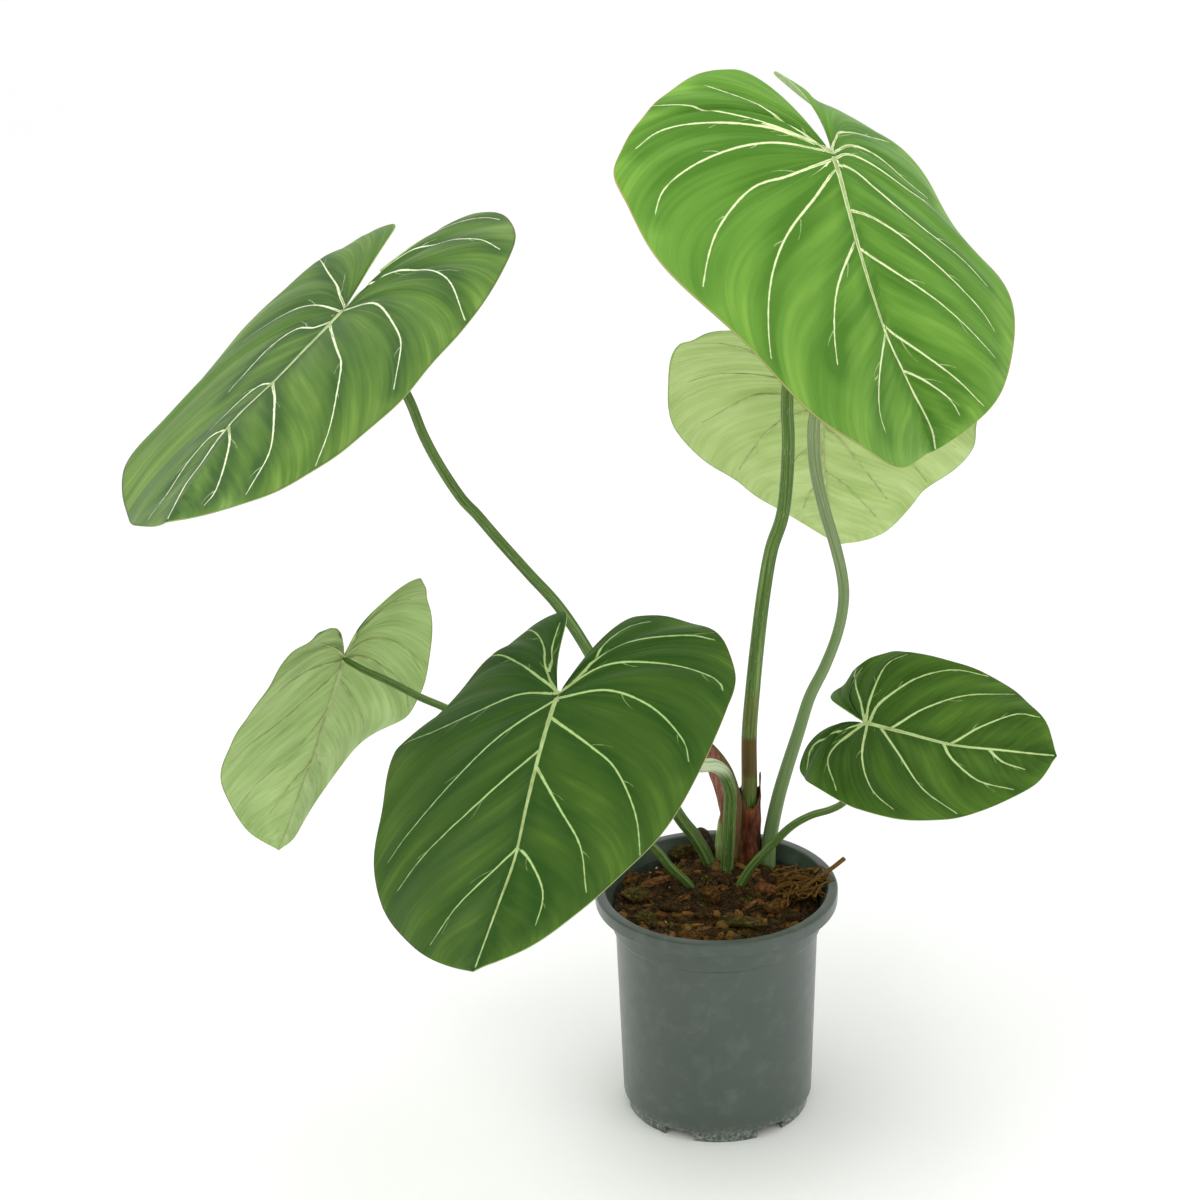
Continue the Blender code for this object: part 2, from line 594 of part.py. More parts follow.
def blade_mesh(leaf):
    """Points and triangles of one closed blade, alike on both faces."""
    frame = leaf_frame(leaf)
    origin = np.array(leaf.origin, float)
    lines = vein_lines()
    top = []
    index = {}

    def key_of(side, i, j):
        if i == 0:
            return ("tip",)
        if j == 0:
            return ("spine", i) if lines[i] < FAN else ("heart",)
        return (side, i, j)

    lower = []
    for side, sign in (("left", -1), ("right", 1)):
        half = getattr(leaf, side)
        for i, t in enumerate(lines):
            for j, s in enumerate(ROWS):
                key = key_of(side, i, j)
                if key in index:
                    continue
                here = surface_point(leaf, half, sign, t, s)
                normal = bent_normal(leaf, half, sign, flat_point(half, leaf.midrib, t, s))
                index[key] = len(top)
                top.append(here)
                depth = BLADE_T + rib_depth(leaf, t, s)
                lower.append(here - normal * depth)
    count = len(top)
    points = [origin + frame @ p for p in top + lower]
    faces = []
    for side, flip in (("left", False), ("right", True)):
        for i in range(len(lines) - 1):
            for j in range(len(ROWS) - 1):
                ring = [key_of(side, i, j), key_of(side, i + 1, j),
                        key_of(side, i + 1, j + 1), key_of(side, i, j + 1)]
                ids = list(dict.fromkeys(index[k] for k in ring))
                for tri in split(ids):
                    tri = tri if flip else tri[::-1]
                    faces.append(tri)
                    faces.append(tuple(v + count for v in reversed(tri)))
    edges = {}
    for tri in faces:
        if tri[0] >= count:
            continue
        for a, b in zip(tri, tri[1:] + tri[:1]):
            edges[(a, b)] = True
    for a, b in list(edges):
        if (b, a) not in edges:
            faces.append((a, a + count, b + count))
            faces.append((a, b + count, b))
    return points, faces


def split(ids):
    """One or two triangles from three or four corners."""
    if len(ids) == 3:
        return [tuple(ids)]
    if len(ids) < 3:
        return []
    return [(ids[0], ids[1], ids[2]), (ids[0], ids[2], ids[3])]


def surface_point(leaf, half, sign, t, s):
    """The blade's upper face at (t, s), in leaf axes, with its relief."""
    flat = flat_point(half, leaf.midrib, t, s)
    base = bent_point(leaf, half, sign, flat)
    return base + bent_normal(leaf, half, sign, flat) * relief(half, t, s)


def bent_normal(leaf, half, sign, flat):
    """Upward normal of the bent, smooth blade at a flat place."""
    step = 0.5
    along_x = bent_point(leaf, half, sign, flat + (step, 0.0)) - bent_point(leaf, half, sign, flat - (step, 0.0))
    along_y = bent_point(leaf, half, sign, flat + (0.0, step)) - bent_point(leaf, half, sign, flat - (0.0, step))
    normal = np.cross(along_x, along_y) * sign
    return normal / np.linalg.norm(normal)


def stalk_path(leaf):
    """The stalk's centre line, ending square under the blade where the sinus meets the midrib."""
    frame = leaf_frame(leaf)
    face = Vector(frame[:, 2])
    heart = Vector(leaf.origin)
    end_r = leaf.stalk_r[-1] * 0.8
    low = 0.0
    for side, sign in (("left", -1), ("right", 1)):
        half = getattr(leaf, side)
        for t in vein_lines():
            for s in (0.0, 0.02, 0.04, 0.06, 0.08, 0.1):
                here = surface_point(leaf, half, sign, t, s)
                if math.hypot(here[0], here[1]) < end_r + 1.5:
                    depth = BLADE_T + (MIDRIB_T if s < 0.08 else RIB_T)
                    low = max(low, depth - here[2])
    end = heart - face * (low + GAP + 0.1)
    return smooth_path(list(leaf.stalk) + [heart - face * NORMAL_RUN, end], STALK_STEP)


def stalk_radii(leaf):
    """The stalk's radius from the soil to the blade, drawn in a little at its top."""
    values = list(np.interp(np.linspace(0.0, 1.0, 12), (0.0, 0.5, 1.0), leaf.stalk_r))
    values[-1] *= 0.8
    return values


def make_leaf(name, leaf):
    """A blade and its stalk as two objects."""
    mesh_object("blade_" + name, *blade_mesh(leaf), "blade_skin", 60.0)
    path = stalk_path(leaf)
    mesh_object("stalk_" + name, *tube(path, stalk_radii(leaf), STALK_SIDES), "stalk_skin")
    return path, stalk_radii(leaf), STALK_SIDES


def make_sheath(path, radii):
    """The dry sheath round the tall stalk's foot, with a torn top, and the red one above it."""
    wanted = [p for p in path if SHEATH_FROM <= p.z <= SHEATH_TO]
    low = Vector((wanted[0].x, wanted[0].y, SHEATH_FROM))
    high = Vector((wanted[-1].x, wanted[-1].y, SHEATH_TO))
    centre = [low + (high - low) * k / 3 for k in range(4)]
    inner_r = (radii[0] + GAP + 0.2) / math.cos(math.pi / 12)
    outer_r = inner_r + SHEATH_WALL
    sides = 12
    points = []
    for k, c in enumerate(centre):
        for r in (outer_r, inner_r):
            for j in range(sides):
                turn = 2 * math.pi * j / sides
                torn = 9.0 * noise.noise(Vector((j * 1.7, 0.0, 5.0))) if k == 3 else 0.0
                points.append(c + Vector((r * math.cos(turn), r * math.sin(turn), torn)))
    faces = []
    for k in range(3):
        base = k * 2 * sides
        for j in range(sides):
            i = (j + 1) % sides
            faces.append((base + j, base + i, base + i + 2 * sides, base + j + 2 * sides))
            faces.append((base + sides + i, base + sides + j, base + 3 * sides + j, base + 3 * sides + i))
    top = 3 * 2 * sides
    for j in range(sides):
        i = (j + 1) % sides
        faces.append((i, j, sides + j, sides + i))
        faces.append((top + j, top + i, top + sides + i, top + sides + j))
    mesh_object("dry_sheath", points, faces, "dry_sheath")
    return [low + UP * -14.0, high], (outer_r, outer_r), sides


def make_cataphyll():
    """The red-brown scale leaf: a strip with its edges bent forward, pointed at the top."""
    path = smooth_path(CATAPHYLL, 13.0)
    points = []
    across = (-1.0, -0.5, 0.0, 0.5, 1.0)
    for k, centre in enumerate(path):
        ahead = (path[min(k + 1, len(path) - 1)] - path[max(k - 1, 0)]).normalized()
        side = ahead.cross(Vector((0.0, -1.0, 0.0))).normalized()
        face = side.cross(ahead)
        half = along(CATAPHYLL_HALF, k / (len(path) - 1))
        for thick, row in ((CATAPHYLL_T, across), (-CATAPHYLL_T, across[::-1])):
            for u in row:
                bent = half * 0.45 * u * u
                points.append(centre + side * half * u + face * (bent + thick))
    ring = 2 * len(across)
    faces = []
    for k in range(len(path) - 1):
        for j in range(ring):
            a = k * ring + j
            b = k * ring + (j + 1) % ring
            faces.append((a, b, b + ring, a + ring))
    faces.append(tuple(range(ring - 1, -1, -1)))
    faces.append(tuple(range((len(path) - 1) * ring, len(path) * ring)))
    mesh_object("cataphyll", points, faces, "dry_sheath")
    return path[:4], (4.6, 4.6), 10


def main():
    clear_scene()
    holes = []
    for name, leaf in LEAVES.items():
        path, radii, sides = make_leaf(name, leaf)
        holes.append((path[:6], radii[:1] * 2, sides))
        if name == "high_right":
            holes.append(make_sheath(path, radii))
    holes.append(make_cataphyll())
    for name, route, radii, finish in (("rhizome", STUMP, STUMP_R, "rhizome_bark"),
                                       ("bud", BUD, BUD_R, "bud_skin")):
        path = smooth_path(route, 9.0)
        mesh_object(name, *tube(path, radii, 10), finish)
        holes.append((path, radii, 10))
    make_pot()
    make_soil(holes)


main()
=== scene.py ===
"""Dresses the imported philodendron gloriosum: velvet blades with their veins, stalks, pot and mix.

The frame gives the solids; each piece here stands for one of them, in metres, in the frame's axes.
Shapes are worked out in millimetres, in each leaf's own axes where it has them: the origin where
the stalk meets the blade, +Y along the midrib to the tip, +Z out of the upper face.
"""
import math
import random
from dataclasses import dataclass

import bmesh
import bpy
import numpy as np
from mathutils import Matrix, Vector, noise


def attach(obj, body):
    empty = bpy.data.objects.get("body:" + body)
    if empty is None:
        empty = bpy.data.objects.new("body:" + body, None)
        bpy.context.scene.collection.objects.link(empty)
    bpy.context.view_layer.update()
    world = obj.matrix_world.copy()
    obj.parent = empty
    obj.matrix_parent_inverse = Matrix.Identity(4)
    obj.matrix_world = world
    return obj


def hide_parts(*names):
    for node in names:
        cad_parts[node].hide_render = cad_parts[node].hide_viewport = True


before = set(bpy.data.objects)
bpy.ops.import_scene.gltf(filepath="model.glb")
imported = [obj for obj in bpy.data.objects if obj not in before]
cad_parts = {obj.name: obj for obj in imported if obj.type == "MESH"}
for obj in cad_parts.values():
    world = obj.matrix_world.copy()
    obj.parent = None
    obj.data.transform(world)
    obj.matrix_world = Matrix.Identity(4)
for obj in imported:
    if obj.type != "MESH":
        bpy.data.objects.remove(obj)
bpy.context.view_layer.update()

bl_info = {
    "name": "Gloriosum plant dresser",
    "version": (1, 0, 0),
    "blender": (4, 5, 0),
    "location": "3D View > Sidebar > Gloriosum",
    "description": "Builds the leaves, stalks, pot and potting mix around the packed plant",
    "category": "Add Mesh",
}

MM = 0.001
UP = Vector((0.0, 0.0, 1.0))

# Pot, as in the frame
RIM_R = 85.0
MOUTH_R = 78.0
POT_H = 169.6
LIP_H = 10.0
COLLAR_R = 74.3
COLLAR_H = 28.6
WALL_TOP_R = 70.8
WALL_FOOT_R = 67.0
WALL = 1.6
FOOT_H = 8.0
FOOT_R = 65.0
FLOOR_Z = 9.0
RECESS_Z = 6.5
HUB_R = 26.0
NOTCHES = 6
NOTCH_W = 22.0
NOTCH_FIRST = -117.0
DRAIN_R = 4.0
POT_SIDES = 144

# Potting mix
SOIL_EDGE_Z = 153.5
MOUND = 9.5
MOUND_AT = (8.0, 36.0)
MOUND_R = 34.0
BED_R = 72.0
LITTER_R = 70.5
FIBRES = 260
FIBRES_FROM_R = 66.0
FIBRES_TO_R = 69.0
STRAWS = 110
STRAWS_TO_R = 84.0
STRAW_FROM = (64.0, 12.0, 162.0)
TWIG = ((60, 2, 164), (72, 9, 169), (83, 15, 174), (91, 20, 178))
TWIG_R = (1.3, 1.5, 1.6, 1.7)

# Single bits of litter that are seen one by one: place, three half sizes, turn about Z in degrees, tones
LUMPS = (
    ((-41, 24, 161), (11, 3.2, 2.2), 28, "bark"), ((-3, 2, 161), (6, 8, 6), 10, "rust"),
    ((18, -32, 157), (15, 5.5, 4.5), -22, "moss"), ((-22, 68, 160), (9, 6, 5), 10, "moss"),
    ((-55, 12, 157), (10, 8, 5), 30, "moss"), ((-50, -22, 155), (9, 7, 5), -30, "moss"),
    ((42, -10, 157), (9, 7, 5), 40, "rust"), ((36, 14, 158), (10, 4, 3.5), -15, "bark"),
    ((-8, -18, 156), (8, 6, 4), 60, "peat"), ((-30, -8, 156), (10, 7, 4.5), -20, "peat"),
    ((55, -24, 156), (9, 6, 4), -50, "peat"), ((-20, -46, 154), (10, 6, 4), 15, "rust"),
    ((30, -52, 154), (8, 5, 4), 5, "peat"), ((0, -60, 153), (9, 5, 3.5), -10, "moss"),
    ((24, -8, 158), (9, 1.6, 1.4), 48, "bark"), ((8, 22, 161), (7, 5, 4), 0, "peat"),
    ((60, 30, 158), (11, 6, 5), 30, "peat"), ((-60, 38, 156), (8, 6, 4), 60, "rust"))

# Blades
BLADE_T = 0.8
QUILT = 1.7
PILLOW_VEINS = (0.12, 0.25, 0.39, 0.53, 0.68, 0.84)
FAN = 0.36
SOFT = 0.12
VEIN_STATION = (0.0, 0.2, 0.36, 0.5, 0.62, 0.8, 1.0)
VEIN_LEAVES = (42.0, 45.0, 62.0, 115.0, 148.0, 162.0, 174.0)
VEIN_ARRIVES = (-5.0, 12.0, 12.0, 36.0, 55.0, 92.0, 90.0)
SWELL_AT = (0.10, 0.25, 0.42, 0.58, 0.75, 0.93)
SWELL_REACH = 0.06
LINES = 150
ROWS = 50
GROOVE = 0.35

# Half widths of the veins at their start and end, in millimetres
VEIN_HALF = (1.05, 0.3)
FORK_HALF = (0.4, 0.08)
MIDRIB_HALF = (1.9, 0.5)

# How far from a vein the panel between veins is told apart, in millimetres
PANEL = 30.0

MIX_RINGS = 56

# Camera and lights, in metres and degrees
CAMERA_AT = (-0.077, -2.160, 1.334)
CAMERA_DOWN = 23.63
CAMERA_ROLL = -1.2
WORLD_LIGHT = 0.85
LAMPS = (("key", (-1.6, -1.6, 2.6), 1.8, 30.0), ("fill", (2.2, -1.5, 1.7), 2.0, 12.0),
         ("top", (0.3, 0.2, 3.0), 2.4, 22.0))


@dataclass
class Half:
    """One side of a blade: sizes in millimetres, angles in degrees, as in the frame."""
    width: float
    widest: float
    lobe_out: float
    lobe_back: float
    sinus: float
    fold: tuple
    curl: tuple
    swells: tuple
    veins: tuple
    waves: float = 3.0
    wave_h: float = 3.0
    phase: float = 0.0


@dataclass
class Leaf:
    """A blade, how it hangs, its veins, its tone and its stalk."""
    origin: tuple
    heading: float
    pitch: float
    roll: float
    midrib: float
    droop: float
    lobe_droop: float
    twist: float
    lobe_twist: float
    sweep: float
    bow: float
    left: Half
    right: Half
    spine: tuple
    stalk: tuple
    stalk_r: tuple
    deep: str
    mid: str
    bright: str
    vein: str
    back: str
    back_pale: str
    back_vein: str = "8b9458"
    rim: str = "57482f"
    stalk_tones: tuple = ("2c451a", "53702f", "88a163")
    stains: tuple = ()


# These values were fitted by a program to points placed on the photograph, then rounded
LEAVES = {
    "high_right": Leaf(
        origin=(77, -20, 700), heading=-67, pitch=-47, roll=-1, midrib=208,
        droop=62, lobe_droop=69, twist=18, lobe_twist=-23, sweep=8, bow=-53,
        left=Half(132, 81, 39, 116, 16, fold=(-33, -20, 29), curl=(12, -24, -65),
            swells=(-2.5, 0, 0, 5, -3.5, 0), veins=(
            ((0, -5), (-17, -21), (-29, -26), (-60, -34), (-92, -42)),
            ((0, -3), (-24, -12), (-50, -8), (-74, 8), (-98, 20)),
            ((0, 1), (-15, -4), (-33, 1), (-62, 17), (-90, 32), (-112, 60)),
            ((0, 4), (-15, 9), (-32, 25), (-60, 50), (-88, 76), (-102, 104)),
            ((2, 37), (-14, 42), (-37, 59), (-60, 84), (-80, 115), (-86, 135)),
            ((8, 60), (-15, 78), (-39, 99), (-56, 121), (-72, 150)),
            ((9, 110), (-12, 131), (-33, 155), (-46, 178)),
            ((3, 143), (-9, 151), (-23, 167), (-26, 180)))),
        right=Half(150, 15, 35, 73, 9, fold=(10, 11, 20), curl=(-60, -24, 8),
            swells=(8, 3, 9, 5.5, -3.5, 3), veins=(
            ((0, -3), (27, -28), (43, -46), (62, -62)),
            ((0, -6), (34, -23), (67, -38), (103, -54)),
            ((10, -10), (40, -23), (79, -31), (109, -32), (131, -23)),
            ((0, -4), (36, -11), (69, -10), (103, -2), (127, 10), (141, 27)),
            ((0, 1), (40, 11), (70, 17), (105, 40), (137, 72)),
            ((0, 6), (28, 27), (58, 47), (82, 68), (104, 93), (118, 113)),
            ((7, 56), (35, 81), (55, 106), (67, 125)),
            ((9, 116), (27, 134), (43, 156), (46, 171)))),
        spine=((0, 0), (6, 51), (9, 112), (3, 143), (-4, 185), (-2, 206)),
        stalk=((26, 54, 138), (26, 55, 166), (26, 57, 221), (26, 56, 260), (28.5, 54, 296),
               (32, 52, 335), (36, 50, 371), (41, 48, 403), (48, 46, 427), (51, 44, 453),
               (52, 41, 486), (51, 38, 517), (55, 34, 563), (62, 26, 614), (70, 6, 663)),
        stalk_r=(6.0, 4.6, 3.6), stains=((226, 258, 3, "5f3d1f", 0.9), (212, 228, 4, "6b6a35", 0.8),
                                         (262, 292, 8, "7a5233", 0.25)), deep="47761e",
        mid="639232", bright="86b046", vein="e3efb6",
        back="8fae68", back_pale="b4cf88", rim="cfae6c"),
    "high_left": Leaf(
        origin=(-238, -40, 611), heading=-133, pitch=-24, roll=-14, midrib=225,
        droop=-23, lobe_droop=48, twist=-25, lobe_twist=13, sweep=12, bow=-56,
        left=Half(124, 37, 36, 123, 5, fold=(24, 32, -7), curl=(-16, -21, 8),
            swells=(4.5, -5.5, 7, -3, 2, 2.5), veins=(
            ((0, -1), (-24, -5), (-41, -1), (-65, 13), (-88, 30), (-100, 47), (-115, 77)),
            ((-1, 14), (-40, 45), (-59, 64), (-79, 108), (-84, 146)),
            ((0, 76), (-21, 99), (-45, 141), (-48, 186)),
            ((6, 122), (-9, 143), (-23, 186), (-22, 204)),
            ((0, -5), (-3, -25), (-34, -41), (-74, -34), (-116, -3)),
            ((-2, -30), (-22, -70), (-65, -77), (-95, -68)),
            ((-2, -45), (-17, -95), (-45, -113), (-62, -112)))),
        right=Half(139, 70, 39, 118, 14, fold=(-10, -24, -30), curl=(-58, -20, 14),
            swells=(0, -1.5, 4.5, 7, 5, -1), veins=(
            ((0, -4), (15, -16), (27, -27), (51, -46), (82, -76)),
            ((0, 0), (26, -6), (49, -8), (68, -2), (98, 18)),
            ((1, 10), (12, 17), (31, 18), (42, 34), (46, 56), (50, 78)),
            ((0, 76), (15, 75), (27, 89), (36, 118)),
            ((8, 122), (25, 127), (34, 161), (37, 200)))),
        spine=((0, 0), (0, 37), (1, 73), (9, 110), (9, 159), (7, 182), (0, 222)),
        stalk=((4, 45, 138), (-4, 47, 165), (-14, 45, 186), (-25, 42, 204), (-45, 38, 246),
               (-66, 34, 292), (-86, 30, 338), (-105, 24, 374), (-125, 18, 402),
               (-144, 12, 429), (-158, 7, 450), (-168, 3, 464), (-181, -2, 489),
               (-191, -6, 513), (-200, -11, 542), (-216, -20, 578)),
        stalk_r=(4.9, 3.8, 3.1), deep="335619", mid="55782a", bright="7f9d46", vein="e6f1c6",
        back="8fae68", back_pale="b4cf88"),
    "front": Leaf(
        origin=(-106, -160, 392), heading=-106, pitch=-31, roll=1, midrib=211,
        droop=-9, lobe_droop=39, twist=-17, lobe_twist=29, sweep=-8, bow=-3,
        left=Half(123, 13, 31, 67, 7, fold=(5, 18, 2), curl=(-23, -14, -10),
            swells=(8, -4, 0, 1.5, 0, 1.5), veins=(
            ((0, -4), (-14, -18), (-21, -46), (-31, -57), (-44, -60)),
            ((-8, -11), (-32, -38), (-75, -42), (-97, -38)),
            ((0, -4), (-28, -21), (-69, -20), (-108, -7), (-117, 3)),
            ((0, 0), (-38, 0), (-74, 16), (-101, 42), (-109, 60)),
            ((-2, 16), (-38, 43), (-61, 63), (-81, 96), (-90, 127)),
            ((-1, 53), (-27, 88), (-50, 120), (-62, 155)),
            ((-6, 117), (-18, 129), (-33, 154), (-35, 181)))),
        right=Half(144, 2, 32, 84, 21, fold=(6, -21, -17), curl=(-79, -14, 6),
            swells=(1.5, 1.5, -9, 0, 6.5, -1), veins=(
            ((0, -4), (15, -22), (36, -59), (65, -84)),
            ((14, -24), (22, -50), (26, -71)),
            ((0, -5), (21, -21), (63, -53), (102, -74)),
            ((1, -4), (31, -10), (68, -4), (105, 2), (135, 0)),
            ((0, 1), (34, 21), (68, 51), (95, 80), (110, 100)),
            ((-1, 40), (33, 68), (75, 100), (94, 125)),
            ((-6, 117), (11, 134), (34, 155), (45, 179)))),
        spine=((0, 0), (-1, 46), (-3, 85), (-6, 125), (-4, 159), (-1, 208)),
        stalk=((9, 34, 138), (9, 35, 165), (10, 33, 186), (11, 29, 215), (11, 23, 233),
               (6, 9, 253), (-2, -6, 266), (-11, -22, 274), (-32, -55, 293),
               (-59, -95, 321), (-82, -130, 352)),
        stalk_r=(4.6, 4.7, 3.6), stains=((255, 300, 9, "cfdcb6", 0.85),), deep="234708", mid="395815",
        bright="547623", vein="a9c47c",
        back="8fae68", back_pale="b4cf88"),
    "low_right": Leaf(
        origin=(100, -50, 317), heading=-17, pitch=-11, roll=13, midrib=129,
        droop=-14, lobe_droop=69, twist=-12, lobe_twist=-7, sweep=-11, bow=-2,
        left=Half(81, 9, 42, 40, 5, fold=(-25, 1, 8), curl=(11, 0, -17),
            swells=(2.5, 2, -3.5, 3, -6.5, -2), veins=(
            ((0, -2), (-17, -9), (-39, -19), (-62, -25)),
            ((0, -1), (-21, -4), (-60, -3), (-78, 8)),
            ((0, 1), (-22, 3), (-53, 19), (-67, 41), (-67, 68)),
            ((-1, 16), (-26, 34), (-46, 59), (-53, 89)),
            ((1, 58), (-17, 75), (-31, 96), (-29, 112)))),
        right=Half(77, 17, 40, 38, 3, fold=(-20, 2, -8), curl=(-3, -12, 9),
            swells=(5, -2, 2.5, -2, 0, 2.5), veins=(
            ((0, -2), (14, -13), (31, -31), (52, -32)),
            ((0, -1), (19, -9), (43, -16), (68, -3)),
            ((0, 0), (36, 6), (61, 20), (71, 38)),
            ((1, 10), (23, 28), (47, 51), (57, 76)),
            ((2, 53), (15, 62), (29, 83), (31, 107)),
            ((1, 84), (9, 94), (14, 111)))),
        spine=((0, 0), (0, 27), (2, 60), (0, 90), (0, 127)),
        stalk=((11, 21, 138), (17, 18, 158), (26, 14, 177), (39, 6, 197), (52, -3, 216),
               (65, -14, 230), (78, -27, 241), (87, -36, 252), (94, -43, 270)),
        stalk_r=(3.7, 2.6, 2.1), deep="2a4a08", mid="416317", bright="5b7b26", vein="b5cb88",
        back="8fae68", back_pale="b4cf88"),
    "back": Leaf(
        origin=(80, 130, 487), heading=89, pitch=-63, roll=14, midrib=182,
        droop=-10, lobe_droop=50, twist=-8, lobe_twist=-3, sweep=-8, bow=13,
        left=Half(109, 17, 57, 80, 7, fold=(-6, 3, 3), curl=(-16, -25, -18),
            swells=(3.5, -8.5, 2, 0, -1, 1.5), veins=(
            ((0, 3), (-30, 9), (-52, 16), (-88, 50)),
            ((0, -2), (-30, -7), (-72, -10), (-95, -2)),
            ((0, -4), (-25, -25), (-60, -50), (-85, -58)),
            ((0, 14), (-31, 42), (-50, 73), (-65, 104)),
            ((0, 48), (-13, 68), (-28, 95), (-38, 124)),
            ((-1, 100), (-14, 120), (-22, 145)))),
        right=Half(111, 11, 55, 78, 7, fold=(6, 21, 13), curl=(-14, -43, 51),
            swells=(9, -9, -1.5, 7.5, 0, 0), veins=(
            ((0, 88), (12, 105), (25, 129), (32, 146)),
            ((0, 36), (14, 56), (33, 101), (42, 128)),
            ((0, 14), (35, 40), (60, 75), (72, 104)),
            ((0, 3), (35, 10), (70, 25), (95, 52)),
            ((0, -2), (40, -12), (80, -12), (102, 4)),
            ((0, -4), (25, -28), (60, -55), (85, -60)))),
        spine=((0, 0), (-1, 69), (-1, 123), (-3, 149), (0, 180)),
        stalk=((39, 45, 138), (39, 51, 165), (41, 54, 182), (46, 56, 207), (52, 58, 229),
               (61, 61, 258), (69, 65, 283), (80, 69, 305), (89, 73, 329), (93, 77, 351),
               (92, 81, 369), (87, 85, 391), (80, 90, 415), (74, 96, 443), (73, 104, 466)),
        stalk_r=(5.6, 3.8, 4.5), deep="3f6f22", mid="5f8c33", bright="7fa84a", vein="cfe3a6",
        back="9cba62", back_pale="c8dd92",
        stalk_tones=("55693a", "82936a", "b3bd97"), stains=((80, 380, 90, "557a38", 0.55),)),
    "low_left": Leaf(
        origin=(-254, 20, 341), heading=177, pitch=-71, roll=27, midrib=160,
        droop=-1, lobe_droop=58, twist=-25, lobe_twist=-2, sweep=-4, bow=3,
        left=Half(85, 36, 62, 44, 10, fold=(-8, 3, 3), curl=(10, -2, 18),
            swells=(3, -1.5, -5, 9, -5, 3.5), veins=(
            ((0, 1), (-25, 1), (-58, 4), (-80, 22)),
            ((0, 8), (-29, 33), (-58, 58), (-72, 80)),
            ((2, 42), (-13, 68), (-35, 95), (-45, 118)),
            ((3, 85), (-10, 105), (-18, 128)),
            ((0, -2), (-20, -14), (-55, -28), (-72, -24)))),
        right=Half(76, 39, 55, 59, 8, fold=(7, 8, 15), curl=(-18, -77, 52),
            swells=(9, -9, 8.5, 1.5, 5, -1.5), veins=(
            ((0, -3), (8, -19), (32, -40), (53, -42)),
            ((0, -2), (28, -10), (53, -8), (71, 6)),
            ((0, 1), (29, 6), (62, 23), (76, 46)),
            ((1, 17), (19, 30), (52, 65), (63, 88)),
            ((4, 76), (22, 95), (35, 112)))),
        spine=((0, 0), (3, 52), (4, 87), (2, 109), (0, 158)),
        stalk=((-9, 27, 138), (-18, 22, 158), (-32, 17, 176), (-42, 13, 192), (-66, 4, 222),
               (-97, -3, 254), (-127, -7, 280), (-157, -8, 300), (-185, -5, 314),
               (-201, -1, 320), (-221, 5, 329)),
        stalk_r=(3.3, 2.9, 2.5), deep="3f6f22", mid="5f8c33", bright="7fa84a", vein="cfe3a6",
        back="809d54", back_pale="b3cd86"),
}

# Crown pieces, as in the frame
SHEATH_FROM = 150.0
SHEATH_TO = 212.0
CATAPHYLL = ((13, 48, 140), (13, 48, 165), (13, 49, 190), (11, 50, 215), (3, 50, 240), (-9, 50, 258),
             (-21, 50, 270))
CATAPHYLL_HALF = (3.6, 3.8, 6.0, 8.5, 8.5, 6.0, 1.5)
STUMP = ((-4, 58, 138), (-6, 62, 160), (-8, 64, 174), (-8, 64, 182))
STUMP_R = (7.4, 7.4, 7.2, 5.0)
BUD = ((6, 54, 140), (5, 57, 165), (5, 58, 180), (6, 58, 192), (8, 57, 203))
BUD_R = (3.2, 3.6, 3.4, 2.2, 0.5)


def linear(hex_colour):
    """Linear RGBA from an sRGB hex colour."""
    parts = [int(hex_colour[i:i + 2], 16) / 255 for i in (0, 2, 4)]
    return (*(c / 12.92 if c <= 0.04045 else ((c + 0.055) / 1.055) ** 2.4 for c in parts), 1.0)


def node(tree, kind, inputs=None, out=0, stops=(), **settings):
    """Add a node with settings, inputs and colour stops; returns one output, or the node if out is None."""
    made = tree.nodes.new(kind)
    for name, value in settings.items():
        setattr(made, name, value)
    for name, value in (inputs or {}).items():
        if isinstance(value, bpy.types.NodeSocket):
            tree.links.new(value, made.inputs[name])
        else:
            made.inputs[name].default_value = value
    for k, (place, colour) in enumerate(stops):
        elements = made.color_ramp.elements
        stop = elements[k] if k < 2 else elements.new(place)
        stop.position = place
        stop.color = linear(colour)
    return made if out is None else made.outputs[out]


MATH = "ShaderNodeMath"
MIX = "ShaderNodeMix"
RANGE = "ShaderNodeMapRange"
RAMP = "ShaderNodeValToRGB"
NOISE = "ShaderNodeTexNoise"
SPLIT = "ShaderNodeSeparateXYZ"
JOIN = "ShaderNodeCombineXYZ"
FACTOR, COLOUR_A, COLOUR_B, COLOUR_OUT = 0, 6, 7, 2


def new_material(name, roughness, specular=0.5):
    """An empty node material with its Principled shader, and its tree."""
    made = bpy.data.materials.new(name)
    made.use_nodes = True
    tree = made.node_tree
    tree.nodes.clear()
    shader = node(tree, "ShaderNodeBsdfPrincipled",
                  {"Specular IOR Level": specular, "Roughness": roughness}, None)
    node(tree, "ShaderNodeOutputMaterial", {"Surface": shader.outputs[0]}, None)
    return made, tree, shader


def grain(tree, millimetres, detail=3.0, roughness=0.55, shift=0.0, stretch=(1.0, 1.0, 1.0)):
    """Lumps about this many millimetres across, in object space, from 0 to 1."""
    place = node(tree, "ShaderNodeTexCoord", out="Object")
    size = tuple(1000.0 / (millimetres * s) for s in stretch)
    moved = node(tree, "ShaderNodeMapping",
                 {"Vector": place, "Location": (shift, shift * 0.7, 0.0), "Scale": size})
    return node(tree, NOISE, {"Vector": moved, "Scale": 1.0, "Detail": detail, "Roughness": roughness})


def relief_bump(tree, shader, height, millimetres):
    """Bump of this many millimetres for a height of 0 to 1."""
    bump = node(tree, "ShaderNodeBump", {"Height": height, "Distance": millimetres * MM})
    tree.links.new(bump, shader.inputs["Normal"])


